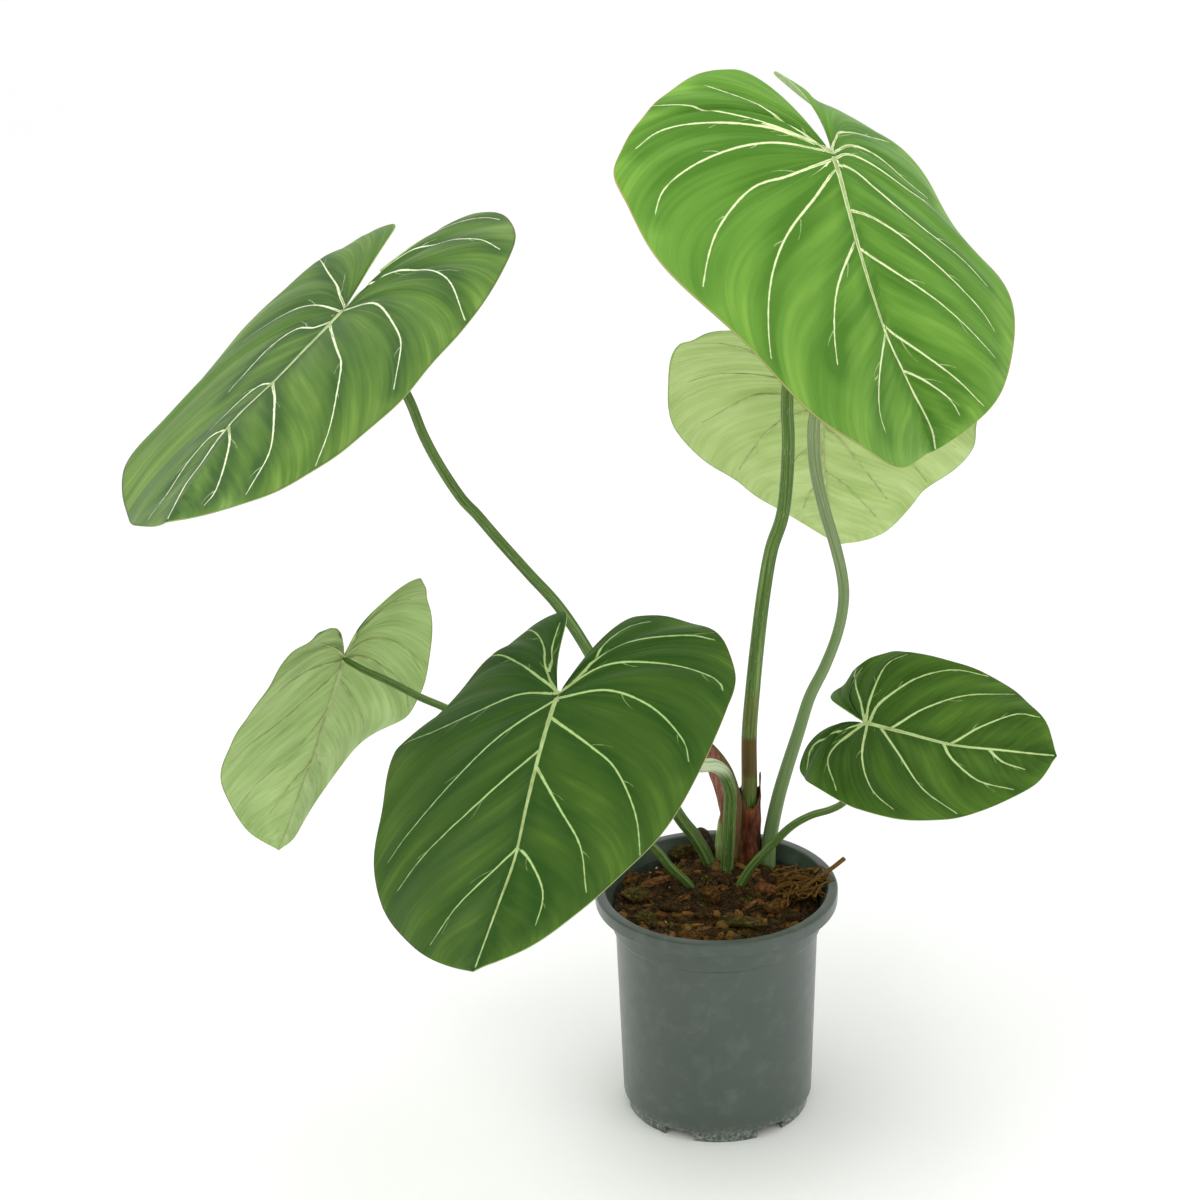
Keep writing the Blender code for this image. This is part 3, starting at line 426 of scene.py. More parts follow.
def linked(name, mesh):
    """An object that holds this mesh, in the scene."""
    obj = bpy.data.objects.new(name, mesh)
    bpy.context.scene.collection.objects.link(obj)
    return obj


def mesh_object(name, points, faces, materials, smooth_angle=60.0):
    """An object from points in millimetres and faces."""
    mesh = bpy.data.meshes.new(name)
    mesh.from_pydata([tuple(float(c) * MM for c in p) for p in points], [], faces)
    for each in materials:
        mesh.materials.append(each)
    mesh.shade_smooth()
    mesh.set_sharp_from_angle(angle=math.radians(smooth_angle))
    return linked(name, mesh)


def dress(obj, slot, *nodes):
    """Make the piece stand for its CAD nodes, which are hidden, and hang it on the root body."""
    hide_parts(*nodes)
    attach(obj, "root")
    return obj


def smooth_path(points, step):
    """Catmull-Rom points about every step millimetres through the given ones."""
    pts = [np.array(p, float) for p in points]
    ends = [pts[0] * 2 - pts[1]] + pts + [pts[-1] * 2 - pts[-2]]
    made = []
    for a, b, c, d in zip(ends, ends[1:], ends[2:], ends[3:]):
        pieces = max(1, round(float(np.linalg.norm(c - b)) / step))
        for k in range(pieces):
            u = k / pieces
            made.append(0.5 * (2 * b + (c - a) * u + (2 * a - 5 * b + 4 * c - d) * u * u
                               + (3 * b - a - 3 * c + d) * u ** 3))
    return np.array(made + [pts[-1]])


# Leaf shape, for whole arrays of places at once

def leaf_frame(leaf):
    """The blade's axes as the columns of a 3 x 3 array."""
    head, pitch, roll = (math.radians(a) for a in (leaf.heading, leaf.pitch, leaf.roll))
    tip = np.array((math.cos(pitch) * math.cos(head), math.cos(pitch) * math.sin(head), math.sin(pitch)))
    flat = np.array((-math.sin(pitch) * math.cos(head), -math.sin(pitch) * math.sin(head), math.cos(pitch)))
    face = flat * math.cos(roll) + np.cross(tip, flat) * math.sin(roll)
    return np.stack((np.cross(tip, face), tip, face), axis=1)


def step_up(u):
    """A smooth step from 0 to 1."""
    u = np.clip(u, 0.0, 1.0)
    return u * u * (3 - 2 * u)


def bezier(a, b, c, d, u):
    """Points at u on cubics with ends a, d and handles b, c, arrays of the same shape."""
    u = u[..., None]
    v = 1.0 - u
    return a * v ** 3 + b * 3 * v * v * u + c * 3 * v * u * u + d * u ** 3


def margin(half, midrib, t):
    """Flat margin of one half, from the tip (0) past the widest point to the lobe (1)."""
    tip = np.array((0.0, midrib))
    side = np.array((half.width, half.widest))
    rear = np.array((half.lobe_out, -half.lobe_back))
    front = bezier(tip, tip + (0.5 * half.width, -0.16 * midrib),
                   side + (0.0, 0.55 * (midrib - half.widest)), side, np.clip(t * 2, 0, 1))
    behind = bezier(side, side - (0.0, 0.55 * (half.widest + half.lobe_back)),
                    rear + (0.55 * (half.width - half.lobe_out), 0.0), rear, np.clip(t * 2 - 1, 0, 1))
    place = np.where((t <= 0.5)[..., None], front, behind)
    out = place - (0.0, 0.3 * midrib)
    out = out / np.linalg.norm(out, axis=-1, keepdims=True)
    swell = sum(size * np.exp(-((t - at) / SWELL_REACH) ** 2) for at, size in zip(SWELL_AT, half.swells))
    return place + out * (swell * step_up(t / 0.04))[..., None]


def flat_places(half, midrib, t, s):
    """Flat places at share s of the lines that veins at t follow to the margin."""
    end = margin(half, midrib, t)
    start = np.stack((np.zeros_like(t), midrib * np.clip(1.0 - t / FAN, 0, None)), -1)
    leaves = np.radians(np.interp(t, VEIN_STATION, VEIN_LEAVES))
    arrives = np.radians(np.interp(t, VEIN_STATION, VEIN_ARRIVES))
    reach = 0.36 * np.linalg.norm(end - start, axis=-1, keepdims=True)
    near = start + reach * np.stack((np.sin(leaves), np.cos(leaves)), -1)
    far = end - reach * np.stack((np.sin(arrives), np.cos(arrives)), -1)
    share = (np.clip((t - 0.8) / 0.2, 0, 1) ** 2)[..., None]
    near = near * (1 - share) + np.array((half.sinus, -0.45 * half.lobe_back)) * share
    far = far * (1 - share) + (end - (0.495 * half.lobe_out, 0.0)) * share
    return bezier(start, near, far, end, s)


def bent(leaf, half, sign, flat):
    """Flat places after the blade's droop, twist, fold and curl, in leaf axes."""
    x, y = flat[..., 0], flat[..., 1]
    scale = leaf.midrib

    def ahead_of(v):
        return 0.5 * (v + np.sqrt(v * v + SOFT * SOFT))

    def turned(v):
        ahead = ahead_of(v)
        return np.radians(leaf.droop) * ahead + np.radians(leaf.lobe_droop) * (v - ahead)

    steps = 12
    along, height = np.zeros_like(y), np.zeros_like(y)
    for k in range(steps):
        angle = turned(y / scale * (k + 0.5) / steps)
        along += np.cos(angle) * y / steps
        height -= np.sin(angle) * y / steps
    v = y / scale
    rest = SOFT / 2
    ahead = ahead_of(v)
    behind = v - ahead
    pitch = turned(v)
    roll = np.radians(leaf.twist) * ahead + np.radians(leaf.lobe_twist) * behind
    tilt = math.tan(math.radians(leaf.sweep))
    aside = leaf.bow * (ahead * ahead - rest * rest) - scale * tilt * (behind + rest)
    zero = np.zeros_like(y)
    up = np.stack((zero, np.sin(pitch), np.cos(pitch)), -1)
    side = np.stack((zero + 1.0, zero, zero), -1)
    cos, sin = np.cos(roll)[..., None], np.sin(roll)[..., None]
    up, side = up * cos - side * sin, side * cos + up * sin
    back = step_up(-y / (0.45 * scale))
    front = step_up(y / scale)
    fold, curl = (np.radians(w[1] + (w[0] - w[1]) * back + (w[2] - w[1]) * front)
                  for w in (half.fold, half.curl))
    bend = curl / half.width
    bend = np.where(np.abs(bend) < 1e-5, 1e-5, bend)
    out = (np.sin(fold + bend * x) - np.sin(fold)) / bend
    rise = (np.cos(fold) - np.cos(fold + bend * x)) / bend
    return np.stack((aside, along, height), -1) + side * (sign * out)[..., None] + up * rise[..., None]


def bent_normal(leaf, half, sign, flat):
    """Upward normals of the bent, smooth blade."""
    along_x = bent(leaf, half, sign, flat + (0.5, 0.0)) - bent(leaf, half, sign, flat - (0.5, 0.0))
    along_y = bent(leaf, half, sign, flat + (0.0, 0.5)) - bent(leaf, half, sign, flat - (0.0, 0.5))
    normal = np.cross(along_x, along_y) * sign
    return normal / np.linalg.norm(normal, axis=-1, keepdims=True)


def relief(half, t, s):
    """Height of the pillows between veins and of the margin's waves, as in the frame."""
    nearest = np.min([np.abs(t - vein) for vein in PILLOW_VEINS], axis=0)
    pillow = step_up(nearest / 0.05) * step_up(s / 0.3) * step_up((1.0 - s) / 0.25)
    pillow = pillow * step_up(t / 0.12) * step_up((1.0 - t) / 0.12)
    wave = np.sin(2 * math.pi * half.waves * t + half.phase) * s ** 3 * step_up(t / 0.15)
    return QUILT * pillow + half.wave_h * wave * step_up((1.0 - t) / 0.2)


def distance_to(curve, places):
    """Signed distance of flat places to a curve, share along it, and how far past its ends."""
    a, b = curve[:-1], curve[1:]
    run = b - a
    length = np.linalg.norm(run, axis=1)
    gone = np.concatenate(([0.0], np.cumsum(length)))
    best = np.full(places.shape[:-1], 1e9)
    signed = np.zeros_like(best)
    share = np.zeros_like(best)
    past = np.zeros_like(best)
    for k in range(len(a)):
        off = places - a[k]
        along = off @ run[k] / length[k] ** 2
        held = np.clip(along, 0.0, 1.0)
        gap = off - held[..., None] * run[k]
        far = np.linalg.norm(gap, axis=-1)
        side = np.sign(run[k][0] * off[..., 1] - run[k][1] * off[..., 0])
        beyond = np.zeros_like(far)
        if k == 0:
            beyond = np.maximum(beyond, -along * length[k])
        if k == len(a) - 1:
            beyond = np.maximum(beyond, (along - 1.0) * length[k])
        nearer = far < best
        best = np.where(nearer, far, best)
        signed = np.where(nearer, far * side, signed)
        share = np.where(nearer, (gone[k] + held * length[k]) / gone[-1], share)
        past = np.where(nearer, np.maximum(beyond, 0.0), past)
    return signed, share, past


def nearest_line(curves, places, widths):
    """Signed distance to the nearest of curves, and the half width of its line there."""
    signed = np.full(places.shape[:-1], PANEL)
    width = np.full(places.shape[:-1], -1.0)
    score = np.full(places.shape[:-1], 1e9)
    second = score.copy()
    for curve, (start, end) in zip(curves, widths):
        gap, share, past = distance_to(curve, places)
        here = start + (end - start) * share ** 0.7 - past
        fade = step_up((np.abs(gap) - 3.5) / 3.0)
        here = here * (1 - fade) - fade
        worth = np.abs(gap) - np.maximum(here, 0.0)
        nearer = worth < score
        second = np.where(nearer, score, np.minimum(second, worth))
        score = np.where(nearer, worth, score)
        signed = np.where(nearer, gap, signed)
        width = np.where(nearer, here, width)
    width = np.where((second - score < 2.5) & (score > 0.4), -1.0, width)
    return np.clip(signed, -PANEL, PANEL), width


def side_veins(half, midrib, rng):
    """Short forks that leave each main vein, as flat curves."""
    made = []
    for vein in half.veins:
        path = smooth_path(vein, 4.0)
        for share in (rng.uniform(0.15, 0.45), rng.uniform(0.5, 0.85)):
            k = int(share * (len(path) - 2))
            ahead = path[k + 1] - path[k]
            ahead = ahead / np.linalg.norm(ahead)
            turn = math.radians(rng.choice((-1, 1)) * rng.uniform(24, 40))
            length = rng.uniform(9.0, 24.0) * (1.0 - 0.35 * share) * midrib / 210.0
            place = path[k].copy()
            points = [place.copy()]
            for j in range(6):
                heading = turn * (1.0 - 0.14 * j)
                step = np.array((ahead[0] * math.cos(heading) - ahead[1] * math.sin(heading),
                                 ahead[0] * math.sin(heading) + ahead[1] * math.cos(heading)))
                place = place + step * length / 6
                points.append(place.copy())
            made.append(np.array(points))
    return made


def blade_grid(leaf, half, sign, lines, rows):
    """Flat places, upper-face points, normals and line fields of one half, as grids."""
    t, s = np.meshgrid(np.linspace(0.0, 1.0, lines + 1), np.linspace(0.0, 1.0, rows + 1) ** 1.12,
                       indexing="ij")
    flat = flat_places(half, leaf.midrib, t, s)
    base = bent(leaf, half, sign, flat)
    normal = bent_normal(leaf, half, sign, flat)
    signed = flat * (sign, 1.0)
    veins = [smooth_path(v, 6.0) for v in leaf.left.veins + leaf.right.veins]
    forks = side_veins(half, leaf.midrib, random.Random(round(half.width * 7 + half.lobe_back)))
    fields = {"vein": nearest_line(veins, signed, [VEIN_HALF] * len(veins)),
              "fork": nearest_line(forks, signed, [FORK_HALF] * len(forks)),
              "midrib": nearest_line([smooth_path(leaf.spine, 6.0)], signed, [MIDRIB_HALF])}
    gap, width = fields["vein"]
    # Distance to the nearest vein or midrib; the upper face's material paints shade beside the veins from it
    panel = np.minimum(np.abs(gap), np.abs(fields["midrib"][0]))
    groove = np.exp(-(gap / 1.7) ** 2) * step_up(width / 0.6)
    height = relief(half, t, s) - GROOVE * groove
    return dict(t=t, s=s, flat=flat, height=height, top=base + normal * height[..., None], normal=normal,
                fields=fields, panel=panel)


def blade_object(name, leaf, face, back, lines, rows):
    """One blade: both faces, the margin between them, and the fields that its materials read."""
    grids = {"left": blade_grid(leaf, leaf.left, -1, lines, rows),
             "right": blade_grid(leaf, leaf.right, 1, lines, rows)}
    ids, shared, upper, normals = {}, {}, [], []
    for side, grid in grids.items():
        own = np.zeros(grid["t"].shape, int)
        for i in range(lines + 1):
            for j in range(rows + 1):
                key = (side, i, j)
                if i == 0:
                    key = "tip"
                elif j == 0:
                    key = ("spine", i) if grid["t"][i, 0] < FAN else "heart"
                if key not in shared:
                    shared[key] = len(upper)
                    upper.append(grid["top"][i, j])
                    normals.append(grid["normal"][i, j])
                own[i, j] = shared[key]
        ids[side] = own
    count = len(upper)
    upper, normals = np.array(upper), np.array(normals)
    places = np.concatenate((upper, upper - normals * BLADE_T)) @ leaf_frame(leaf).T
    places = places + np.array(leaf.origin, float)
    faces, slots, corners = [], [], []

    def add(ring, shift, slot):
        kept = {}
        for side, i, j, low in ring:
            kept.setdefault(ids[side][i, j] + shift + low * count, (side, i, j))
        if len(kept) > 2:
            faces.append(list(kept))
            corners.extend(kept.values())
            slots.append(slot)

    for side, turned in (("left", False), ("right", True)):
        for i in range(lines):
            for j in range(rows):
                ring = [(side, i, j, 0), (side, i, j + 1, 0), (side, i + 1, j + 1, 0), (side, i + 1, j, 0)]
                if turned:
                    ring.reverse()
                add(ring, 0, 0)
                add(ring[::-1], count, 1)
        rim = [(i, rows) for i in range(lines + 1)] + [(lines, j) for j in range(rows - 1, -1, -1)]
        for (i, j), (k, m) in zip(rim, rim[1:]):
            ring = [(side, i, j, 0), (side, i, j, 1), (side, k, m, 1), (side, k, m, 0)]
            if turned:
                ring.reverse()
            add(ring, 0, 1)
    obj = mesh_object("dressed_blade_" + name, places, faces, (face, back), 180.0)
    mesh = obj.data
    mesh.polygons.foreach_set("material_index", slots)
    on_right = np.array([side == "right" for side, _, _ in corners])
    i = np.array([c[1] for c in corners])
    j = np.array([c[2] for c in corners])

    def at_corners(left, right):
        return np.where(on_right, right[i, j], left[i, j])

    lay = mesh.uv_layers.new(name="lay")
    both = [at_corners(grids["left"][key], grids["right"][key]) for key in ("t", "s")]
    lay.data.foreach_set("uv", np.stack(both, -1).astype(np.float32).ravel())
    for field in ("vein", "fork", "midrib"):
        values = [at_corners(grids["left"]["fields"][field][k],
                             grids["right"]["fields"][field][k]) for k in (0, 1)]
        values.append(on_right.astype(float))
        attribute = mesh.attributes.new(field, "FLOAT_VECTOR", "CORNER")
        attribute.data.foreach_set("vector", np.stack(values, -1).astype(np.float32).ravel())
    attribute = mesh.attributes.new("panel", "FLOAT", "CORNER")
    attribute.data.foreach_set("value", at_corners(grids["left"]["panel"],
                                                   grids["right"]["panel"]).astype(np.float32))
    mesh.update()
    return obj, grids


def drawn_line(tree, field, wobble, soft, wider=1.0):
    """1 on the blade's lines of this field and 0 beside them."""
    parts = node(tree, SPLIT, {0: node(tree, "ShaderNodeAttribute", out="Vector", attribute_name=field)},
                 None)
    gap = node(tree, MATH, {0: parts.outputs[0]}, operation="ABSOLUTE")
    edge = node(tree, MATH, {0: parts.outputs[1], 1: wider, 2: wobble}, operation="MULTIPLY_ADD")
    inside = node(tree, MATH, {0: edge, 1: gap}, operation="SUBTRACT")
    return node(tree, RANGE, {"Value": inside, "From Min": -soft, "From Max": soft},
                interpolation_type="SMOOTHSTEP")


def fold_shade_streaks(tree, across, along, seed):
    """Painted light and shade of the fine folds: streaks that run from the midrib to the margin, with this
    many across the blade and along a streak.
    """
    uv = node(tree, SPLIT, {0: node(tree, "ShaderNodeUVMap", uv_map="lay")}, None)
    side = node(tree, SPLIT, {0: node(tree, "ShaderNodeAttribute", out="Vector", attribute_name="vein")},
                None)
    place = node(tree, JOIN, {
        0: node(tree, MATH, {0: uv.outputs[0], 1: across}, operation="MULTIPLY"),
        1: node(tree, MATH, {0: uv.outputs[1], 1: along}, operation="MULTIPLY"),
        2: node(tree, MATH, {0: side.outputs[2], 1: 7.3, 2: seed}, operation="MULTIPLY_ADD")})
    streak = node(tree, NOISE, {"Vector": place, "Scale": 1.0, "Detail": 2.0, "Roughness": 0.55})
    return node(tree, RANGE, {"Value": streak, "From Min": 0.32, "From Max": 0.68}), uv.outputs[1]


def velvet_face(name, leaf, looks):
    """Leaf cuticle of fine domed cells: a matt velvet green with cream veins, streaked along the veins with
    painted fold shading, with painted shade beside the veins and painted light toward the margin.
    """
    made, tree, shader = new_material("Velvety leaf upper face " + name, 0.58, 0.13)
    wobble = node(tree, MATH, {0: grain(tree, 5.0), 1: 0.8, 2: -0.4}, operation="MULTIPLY_ADD")
    vein = drawn_line(tree, "vein", wobble, 0.35, looks.vein_width)
    fork = drawn_line(tree, "fork", wobble, 0.3, looks.vein_width)
    rib = drawn_line(tree, "midrib", wobble, 0.4, looks.vein_width)
    gap = node(tree, "ShaderNodeAttribute", out="Fac", attribute_name="panel")
    # Painted light and shade of the fine folds, in streaks along the veins, at three sizes
    fine, out = fold_shade_streaks(tree, 120.0, 1.6, 1.0)
    fold_shade_band, _ = fold_shade_streaks(tree, 34.0, 1.3, 4.0)
    broad_fold_shade, _ = fold_shade_streaks(tree, 9.0, 0.7, 8.0)
    light = node(tree, MATH,
                 {0: fine, 1: 0.24, 2: node(tree, MATH, {0: fold_shade_band, 1: 0.34}, operation="MULTIPLY")},
                 operation="MULTIPLY_ADD")
    light = node(tree, MATH, {0: broad_fold_shade, 1: 0.2, 2: light}, operation="MULTIPLY_ADD")
    light = node(tree, MATH, {0: grain(tree, 70.0, 2.0, 0.5, leaf.origin[0]), 1: 0.5, 2: light},
                 operation="MULTIPLY_ADD")
    # Painted shade beside the veins, as in the grooves they lie in: darkest at a vein, lifting over 16 mm
    # into the open panel
    painted_groove_shade = node(tree, RANGE, {"Value": gap, "From Max": 16.0, "To Min": -0.6, "To Max": -0.22},
                     interpolation_type="SMOOTHSTEP")
    light = node(tree, MATH, {0: light, 1: painted_groove_shade}, operation="ADD")
    # Painted light toward the margin, as light shining through the thin edge of the blade
    rim = node(tree, RANGE, {"Value": out, "From Min": 0.55, "To Max": 0.22}, interpolation_type="SMOOTHSTEP")
    light = node(tree, MATH, {0: light, 1: rim}, operation="ADD", use_clamp=True)
    skin = node(tree, RAMP, {0: light}, stops=((0.0, leaf.deep), (1.0, leaf.bright), (0.5, leaf.mid)))
    fork = node(tree, MATH, {0: fork, 1: 0.45}, operation="MULTIPLY")
    lines = node(tree, MATH, {0: vein, 1: node(tree, MATH, {0: rib, 1: fork}, operation="MAXIMUM")},
                 operation="MAXIMUM")
    skin = node(tree, MIX, {FACTOR: lines, COLOUR_A: skin, COLOUR_B: linear(leaf.vein)}, COLOUR_OUT,
                data_type="RGBA")
    edge = node(tree, RANGE, {"Value": out, "From Min": 0.99, "From Max": 0.998, "To Max": 0.7})
    skin = node(tree, MIX, {FACTOR: edge, COLOUR_A: skin, COLOUR_B: linear(leaf.rim)}, COLOUR_OUT,
                data_type="RGBA")
    tree.links.new(skin, shader.inputs["Base Color"])
    shader.inputs["Sheen Weight"].default_value = looks.velvet
    shader.inputs["Sheen Roughness"].default_value = 0.45
    height = node(tree, MATH, {0: grain(tree, 1.4, 1.0), 1: 0.25, 2: node(tree, MATH, {0: fine, 1: 0.35},
                               operation="MULTIPLY")}, operation="MULTIPLY_ADD")
    height = node(tree, MATH, {0: lines, 1: 0.5, 2: height}, operation="MULTIPLY_ADD")
    relief_bump(tree, shader, height, 0.6)
    return made


def pale_back(name, leaf, looks):
    """Leaf underside without the velvet cells: a paler, smoother green with darker net and veins, streaked
    along the veins with painted fold shading.
    """
    made, tree, shader = new_material("Pale leaf underside " + name, 0.55, 0.22)
    wobble = node(tree, MATH, {0: grain(tree, 5.0), 1: 0.8, 2: -0.4}, operation="MULTIPLY_ADD")
    vein = drawn_line(tree, "vein", wobble, 0.5, 1.1 * looks.vein_width)
    rib = drawn_line(tree, "midrib", wobble, 0.6, 1.1 * looks.vein_width)
    fork = drawn_line(tree, "fork", wobble, 0.4, 1.2 * looks.vein_width)
    # Painted light and shade of the folds, in streaks along the veins
    fine, out = fold_shade_streaks(tree, 120.0, 2.0, 2.0)
    fold_shade_band, _ = fold_shade_streaks(tree, 22.0, 1.3, 5.0)
    light = node(tree, MATH,
                 {0: fine, 1: 0.28, 2: node(tree, MATH, {0: fold_shade_band, 1: 0.35}, operation="MULTIPLY")},
                 operation="MULTIPLY_ADD")
    light = node(tree, MATH, {0: grain(tree, 45.0, 2.0, 0.5, leaf.origin[1]), 1: 0.6, 2: light},
                 operation="MULTIPLY_ADD")
    skin = node(tree, RAMP, {0: light}, stops=((0.2, leaf.back), (0.95, leaf.back_pale)))
    fork = node(tree, MATH, {0: fork, 1: 0.4}, operation="MULTIPLY")
    lines = node(tree, MATH, {0: vein, 1: node(tree, MATH, {0: rib, 1: fork}, operation="MAXIMUM")},
                 operation="MAXIMUM")
    skin = node(tree, MIX, {FACTOR: lines, COLOUR_A: skin, COLOUR_B: linear(leaf.back_vein)}, COLOUR_OUT,
                data_type="RGBA")
    edge = node(tree, RANGE, {"Value": out, "From Min": 0.985, "From Max": 0.997, "To Max": 0.6})
    skin = node(tree, MIX, {FACTOR: edge, COLOUR_A: skin, COLOUR_B: linear("6f8a45")}, COLOUR_OUT,
                data_type="RGBA")
    tree.links.new(skin, shader.inputs["Base Color"])
    height = node(tree, MATH, {0: lines, 1: 0.8, 2: fine}, operation="MULTIPLY_ADD")
    relief_bump(tree, shader, height, 0.5)
    return made


def rib_skin(leaf):
    """Raised vein of the underside: smooth, firmer tissue, a shade off the skin beside it."""
    made, tree, shader = new_material("Raised underside vein", 0.42, 0.4)
    skin = node(tree, RAMP, {0: grain(tree, 9.0)}, stops=((0.3, leaf.back_vein), (0.8, leaf.back_pale)))
    tree.links.new(skin, shader.inputs["Base Color"])
    return made


def under_line(leaf, half, sign, grid, curve, radius, end_radius):
    """A vein's route along the underside, sunk half in, with its radii."""
    flat = np.array(curve) * (sign, 1.0)
    near = np.argmin(np.linalg.norm(grid["flat"].reshape(-1, 1, 2) - flat[None], axis=-1), axis=0)
    height = grid["height"].reshape(-1)[near]
    radii = radius + (end_radius - radius) * np.linspace(0.0, 1.0, len(flat)) ** 0.8
    drop = height - BLADE_T - 0.25 * radii + 0.15
    path = bent(leaf, half, sign, flat) + bent_normal(leaf, half, sign, flat) * drop[:, None]
    return path @ leaf_frame(leaf).T + np.array(leaf.origin, float), radii


def under_ribs(name, leaf, grids, tree, looks):
    """The raised midrib and main veins of a blade's underside, as one piece."""
    lines = [under_line(leaf, leaf.right, 1, grids["right"], smooth_path(leaf.spine, 5.0), 1.9, 0.5)]
    for side, sign in (("left", -1), ("right", 1)):
        half = getattr(leaf, side)
        for vein in half.veins:
            curve = smooth_path(vein, 5.0)
            lines.append(under_line(leaf, half, sign, grids[side], curve[:-1], 1.15, 0.3))
    lines = [(path, radii * looks.rib_height) for path, radii in lines]
    return tubes("underside_ribs_" + name, lines, 8, rib_skin(leaf), tree)


def tube_tree():
    """Nodes that turn lines of points into closed tubes, and keep the place round and along them."""
    tree = bpy.data.node_groups.new("Tubes along lines", "GeometryNodeTree")
    for name, kind, way in (("Path", "Geometry", "INPUT"), ("Sides", "Int", "INPUT"),
                            ("Skin", "Material", "INPUT"),
                            ("Tube", "Geometry", "OUTPUT")):
        tree.interface.new_socket(name, in_out=way, socket_type="NodeSocket" + kind)
    given = node(tree, "NodeGroupInput", out=None)
    line = node(tree, "GeometryNodeMeshToCurve", {"Mesh": given.outputs["Path"]})
    girth = node(tree, "GeometryNodeInputNamedAttribute", {"Name": "girth"}, data_type="FLOAT")
    reach = node(tree, "GeometryNodeSplineParameter", out="Length")
    marked = node(tree, "GeometryNodeStoreNamedAttribute",
                  {"Geometry": line, "Name": "reach", "Value": reach},
                  data_type="FLOAT", domain="POINT")
    ring = node(tree, "GeometryNodeCurvePrimitiveCircle",
                {"Resolution": given.outputs["Sides"], "Radius": 1.0})
    profile = node(tree, "GeometryNodeStoreNamedAttribute",
                   {"Geometry": ring, "Name": "around", "Value": node(tree, "GeometryNodeInputPosition")},
                   data_type="FLOAT_VECTOR", domain="POINT")
    tube = node(tree, "GeometryNodeCurveToMesh",
                {"Curve": marked, "Profile Curve": profile, "Scale": girth, "Fill Caps": True})
    real = node(tree, "GeometryNodeRealizeInstances", {0: tube})
    skinned = node(tree, "GeometryNodeSetMaterial", {"Geometry": real, "Material": given.outputs["Skin"]})
    node(tree, "NodeGroupOutput", {0: skinned}, None)
    return tree


def keep_result(obj):
    """Put what the object's modifiers make in place of its mesh, and take the modifiers off."""
    bpy.context.view_layer.update()
    graph = bpy.context.evaluated_depsgraph_get()
    result = bpy.data.meshes.new_from_object(obj.evaluated_get(graph))
    old = obj.data
    obj.modifiers.clear()
    obj.data = result
    bpy.data.meshes.remove(old)


def run_tree(obj, tree, inputs):
    """Run a node tree on obj with these named inputs, and keep the result as its plain mesh."""
    modifier = obj.modifiers.new("nodes", "NODES")
    modifier.node_group = tree
    sockets = {item.name: item.identifier for item in tree.interface.items_tree if item.in_out == "INPUT"}
    for name, value in inputs.items():
        modifier[sockets[name]] = value
    keep_result(obj)


def tubes(name, lines, sides, skin, tree):
    """A piece of closed tubes along lines, each (points, radii) in millimetres."""
    points, edges, girths = [], [], []
    for path, radii in lines:
        first = len(points)
        points.extend(tuple(float(c) * MM for c in p) for p in path)
        girths.extend(float(r) * MM for r in radii)
        edges.extend((k, k + 1) for k in range(first, len(points) - 1))
    mesh = bpy.data.meshes.new(name)
    mesh.from_pydata(points, edges, [])
    mesh.attributes.new("girth", "FLOAT", "POINT").data.foreach_set("value", girths)
    obj = linked(name, mesh)
    run_tree(obj, tree, {"Sides": sides, "Skin": skin})
    obj.data.shade_smooth()
    obj.data.set_sharp_from_angle(angle=math.radians(50.0))
    return obj


def stalk_line(leaf):
    """The stalk's centre line in small steps, up into the blade, with its radii."""
    face = leaf_frame(leaf)[:, 2]
    heart = np.array(leaf.origin, float)
    path = smooth_path(list(leaf.stalk) + [heart - face * 18.0, heart - face * 0.5], 3.5)
    gone = np.concatenate(([0.0], np.cumsum(np.linalg.norm(np.diff(path, axis=0), axis=1))))
    radii = np.interp(gone / gone[-1], (0.0, 0.5, 1.0), leaf.stalk_r)
    left = gone[-1] - gone
    radii = np.where(left < 30.0, radii * (0.82 + 0.18 * left / 30.0), radii)
    return path, np.where(left < 4.0, 0.9 + (radii - 0.9) * left / 4.0, radii)


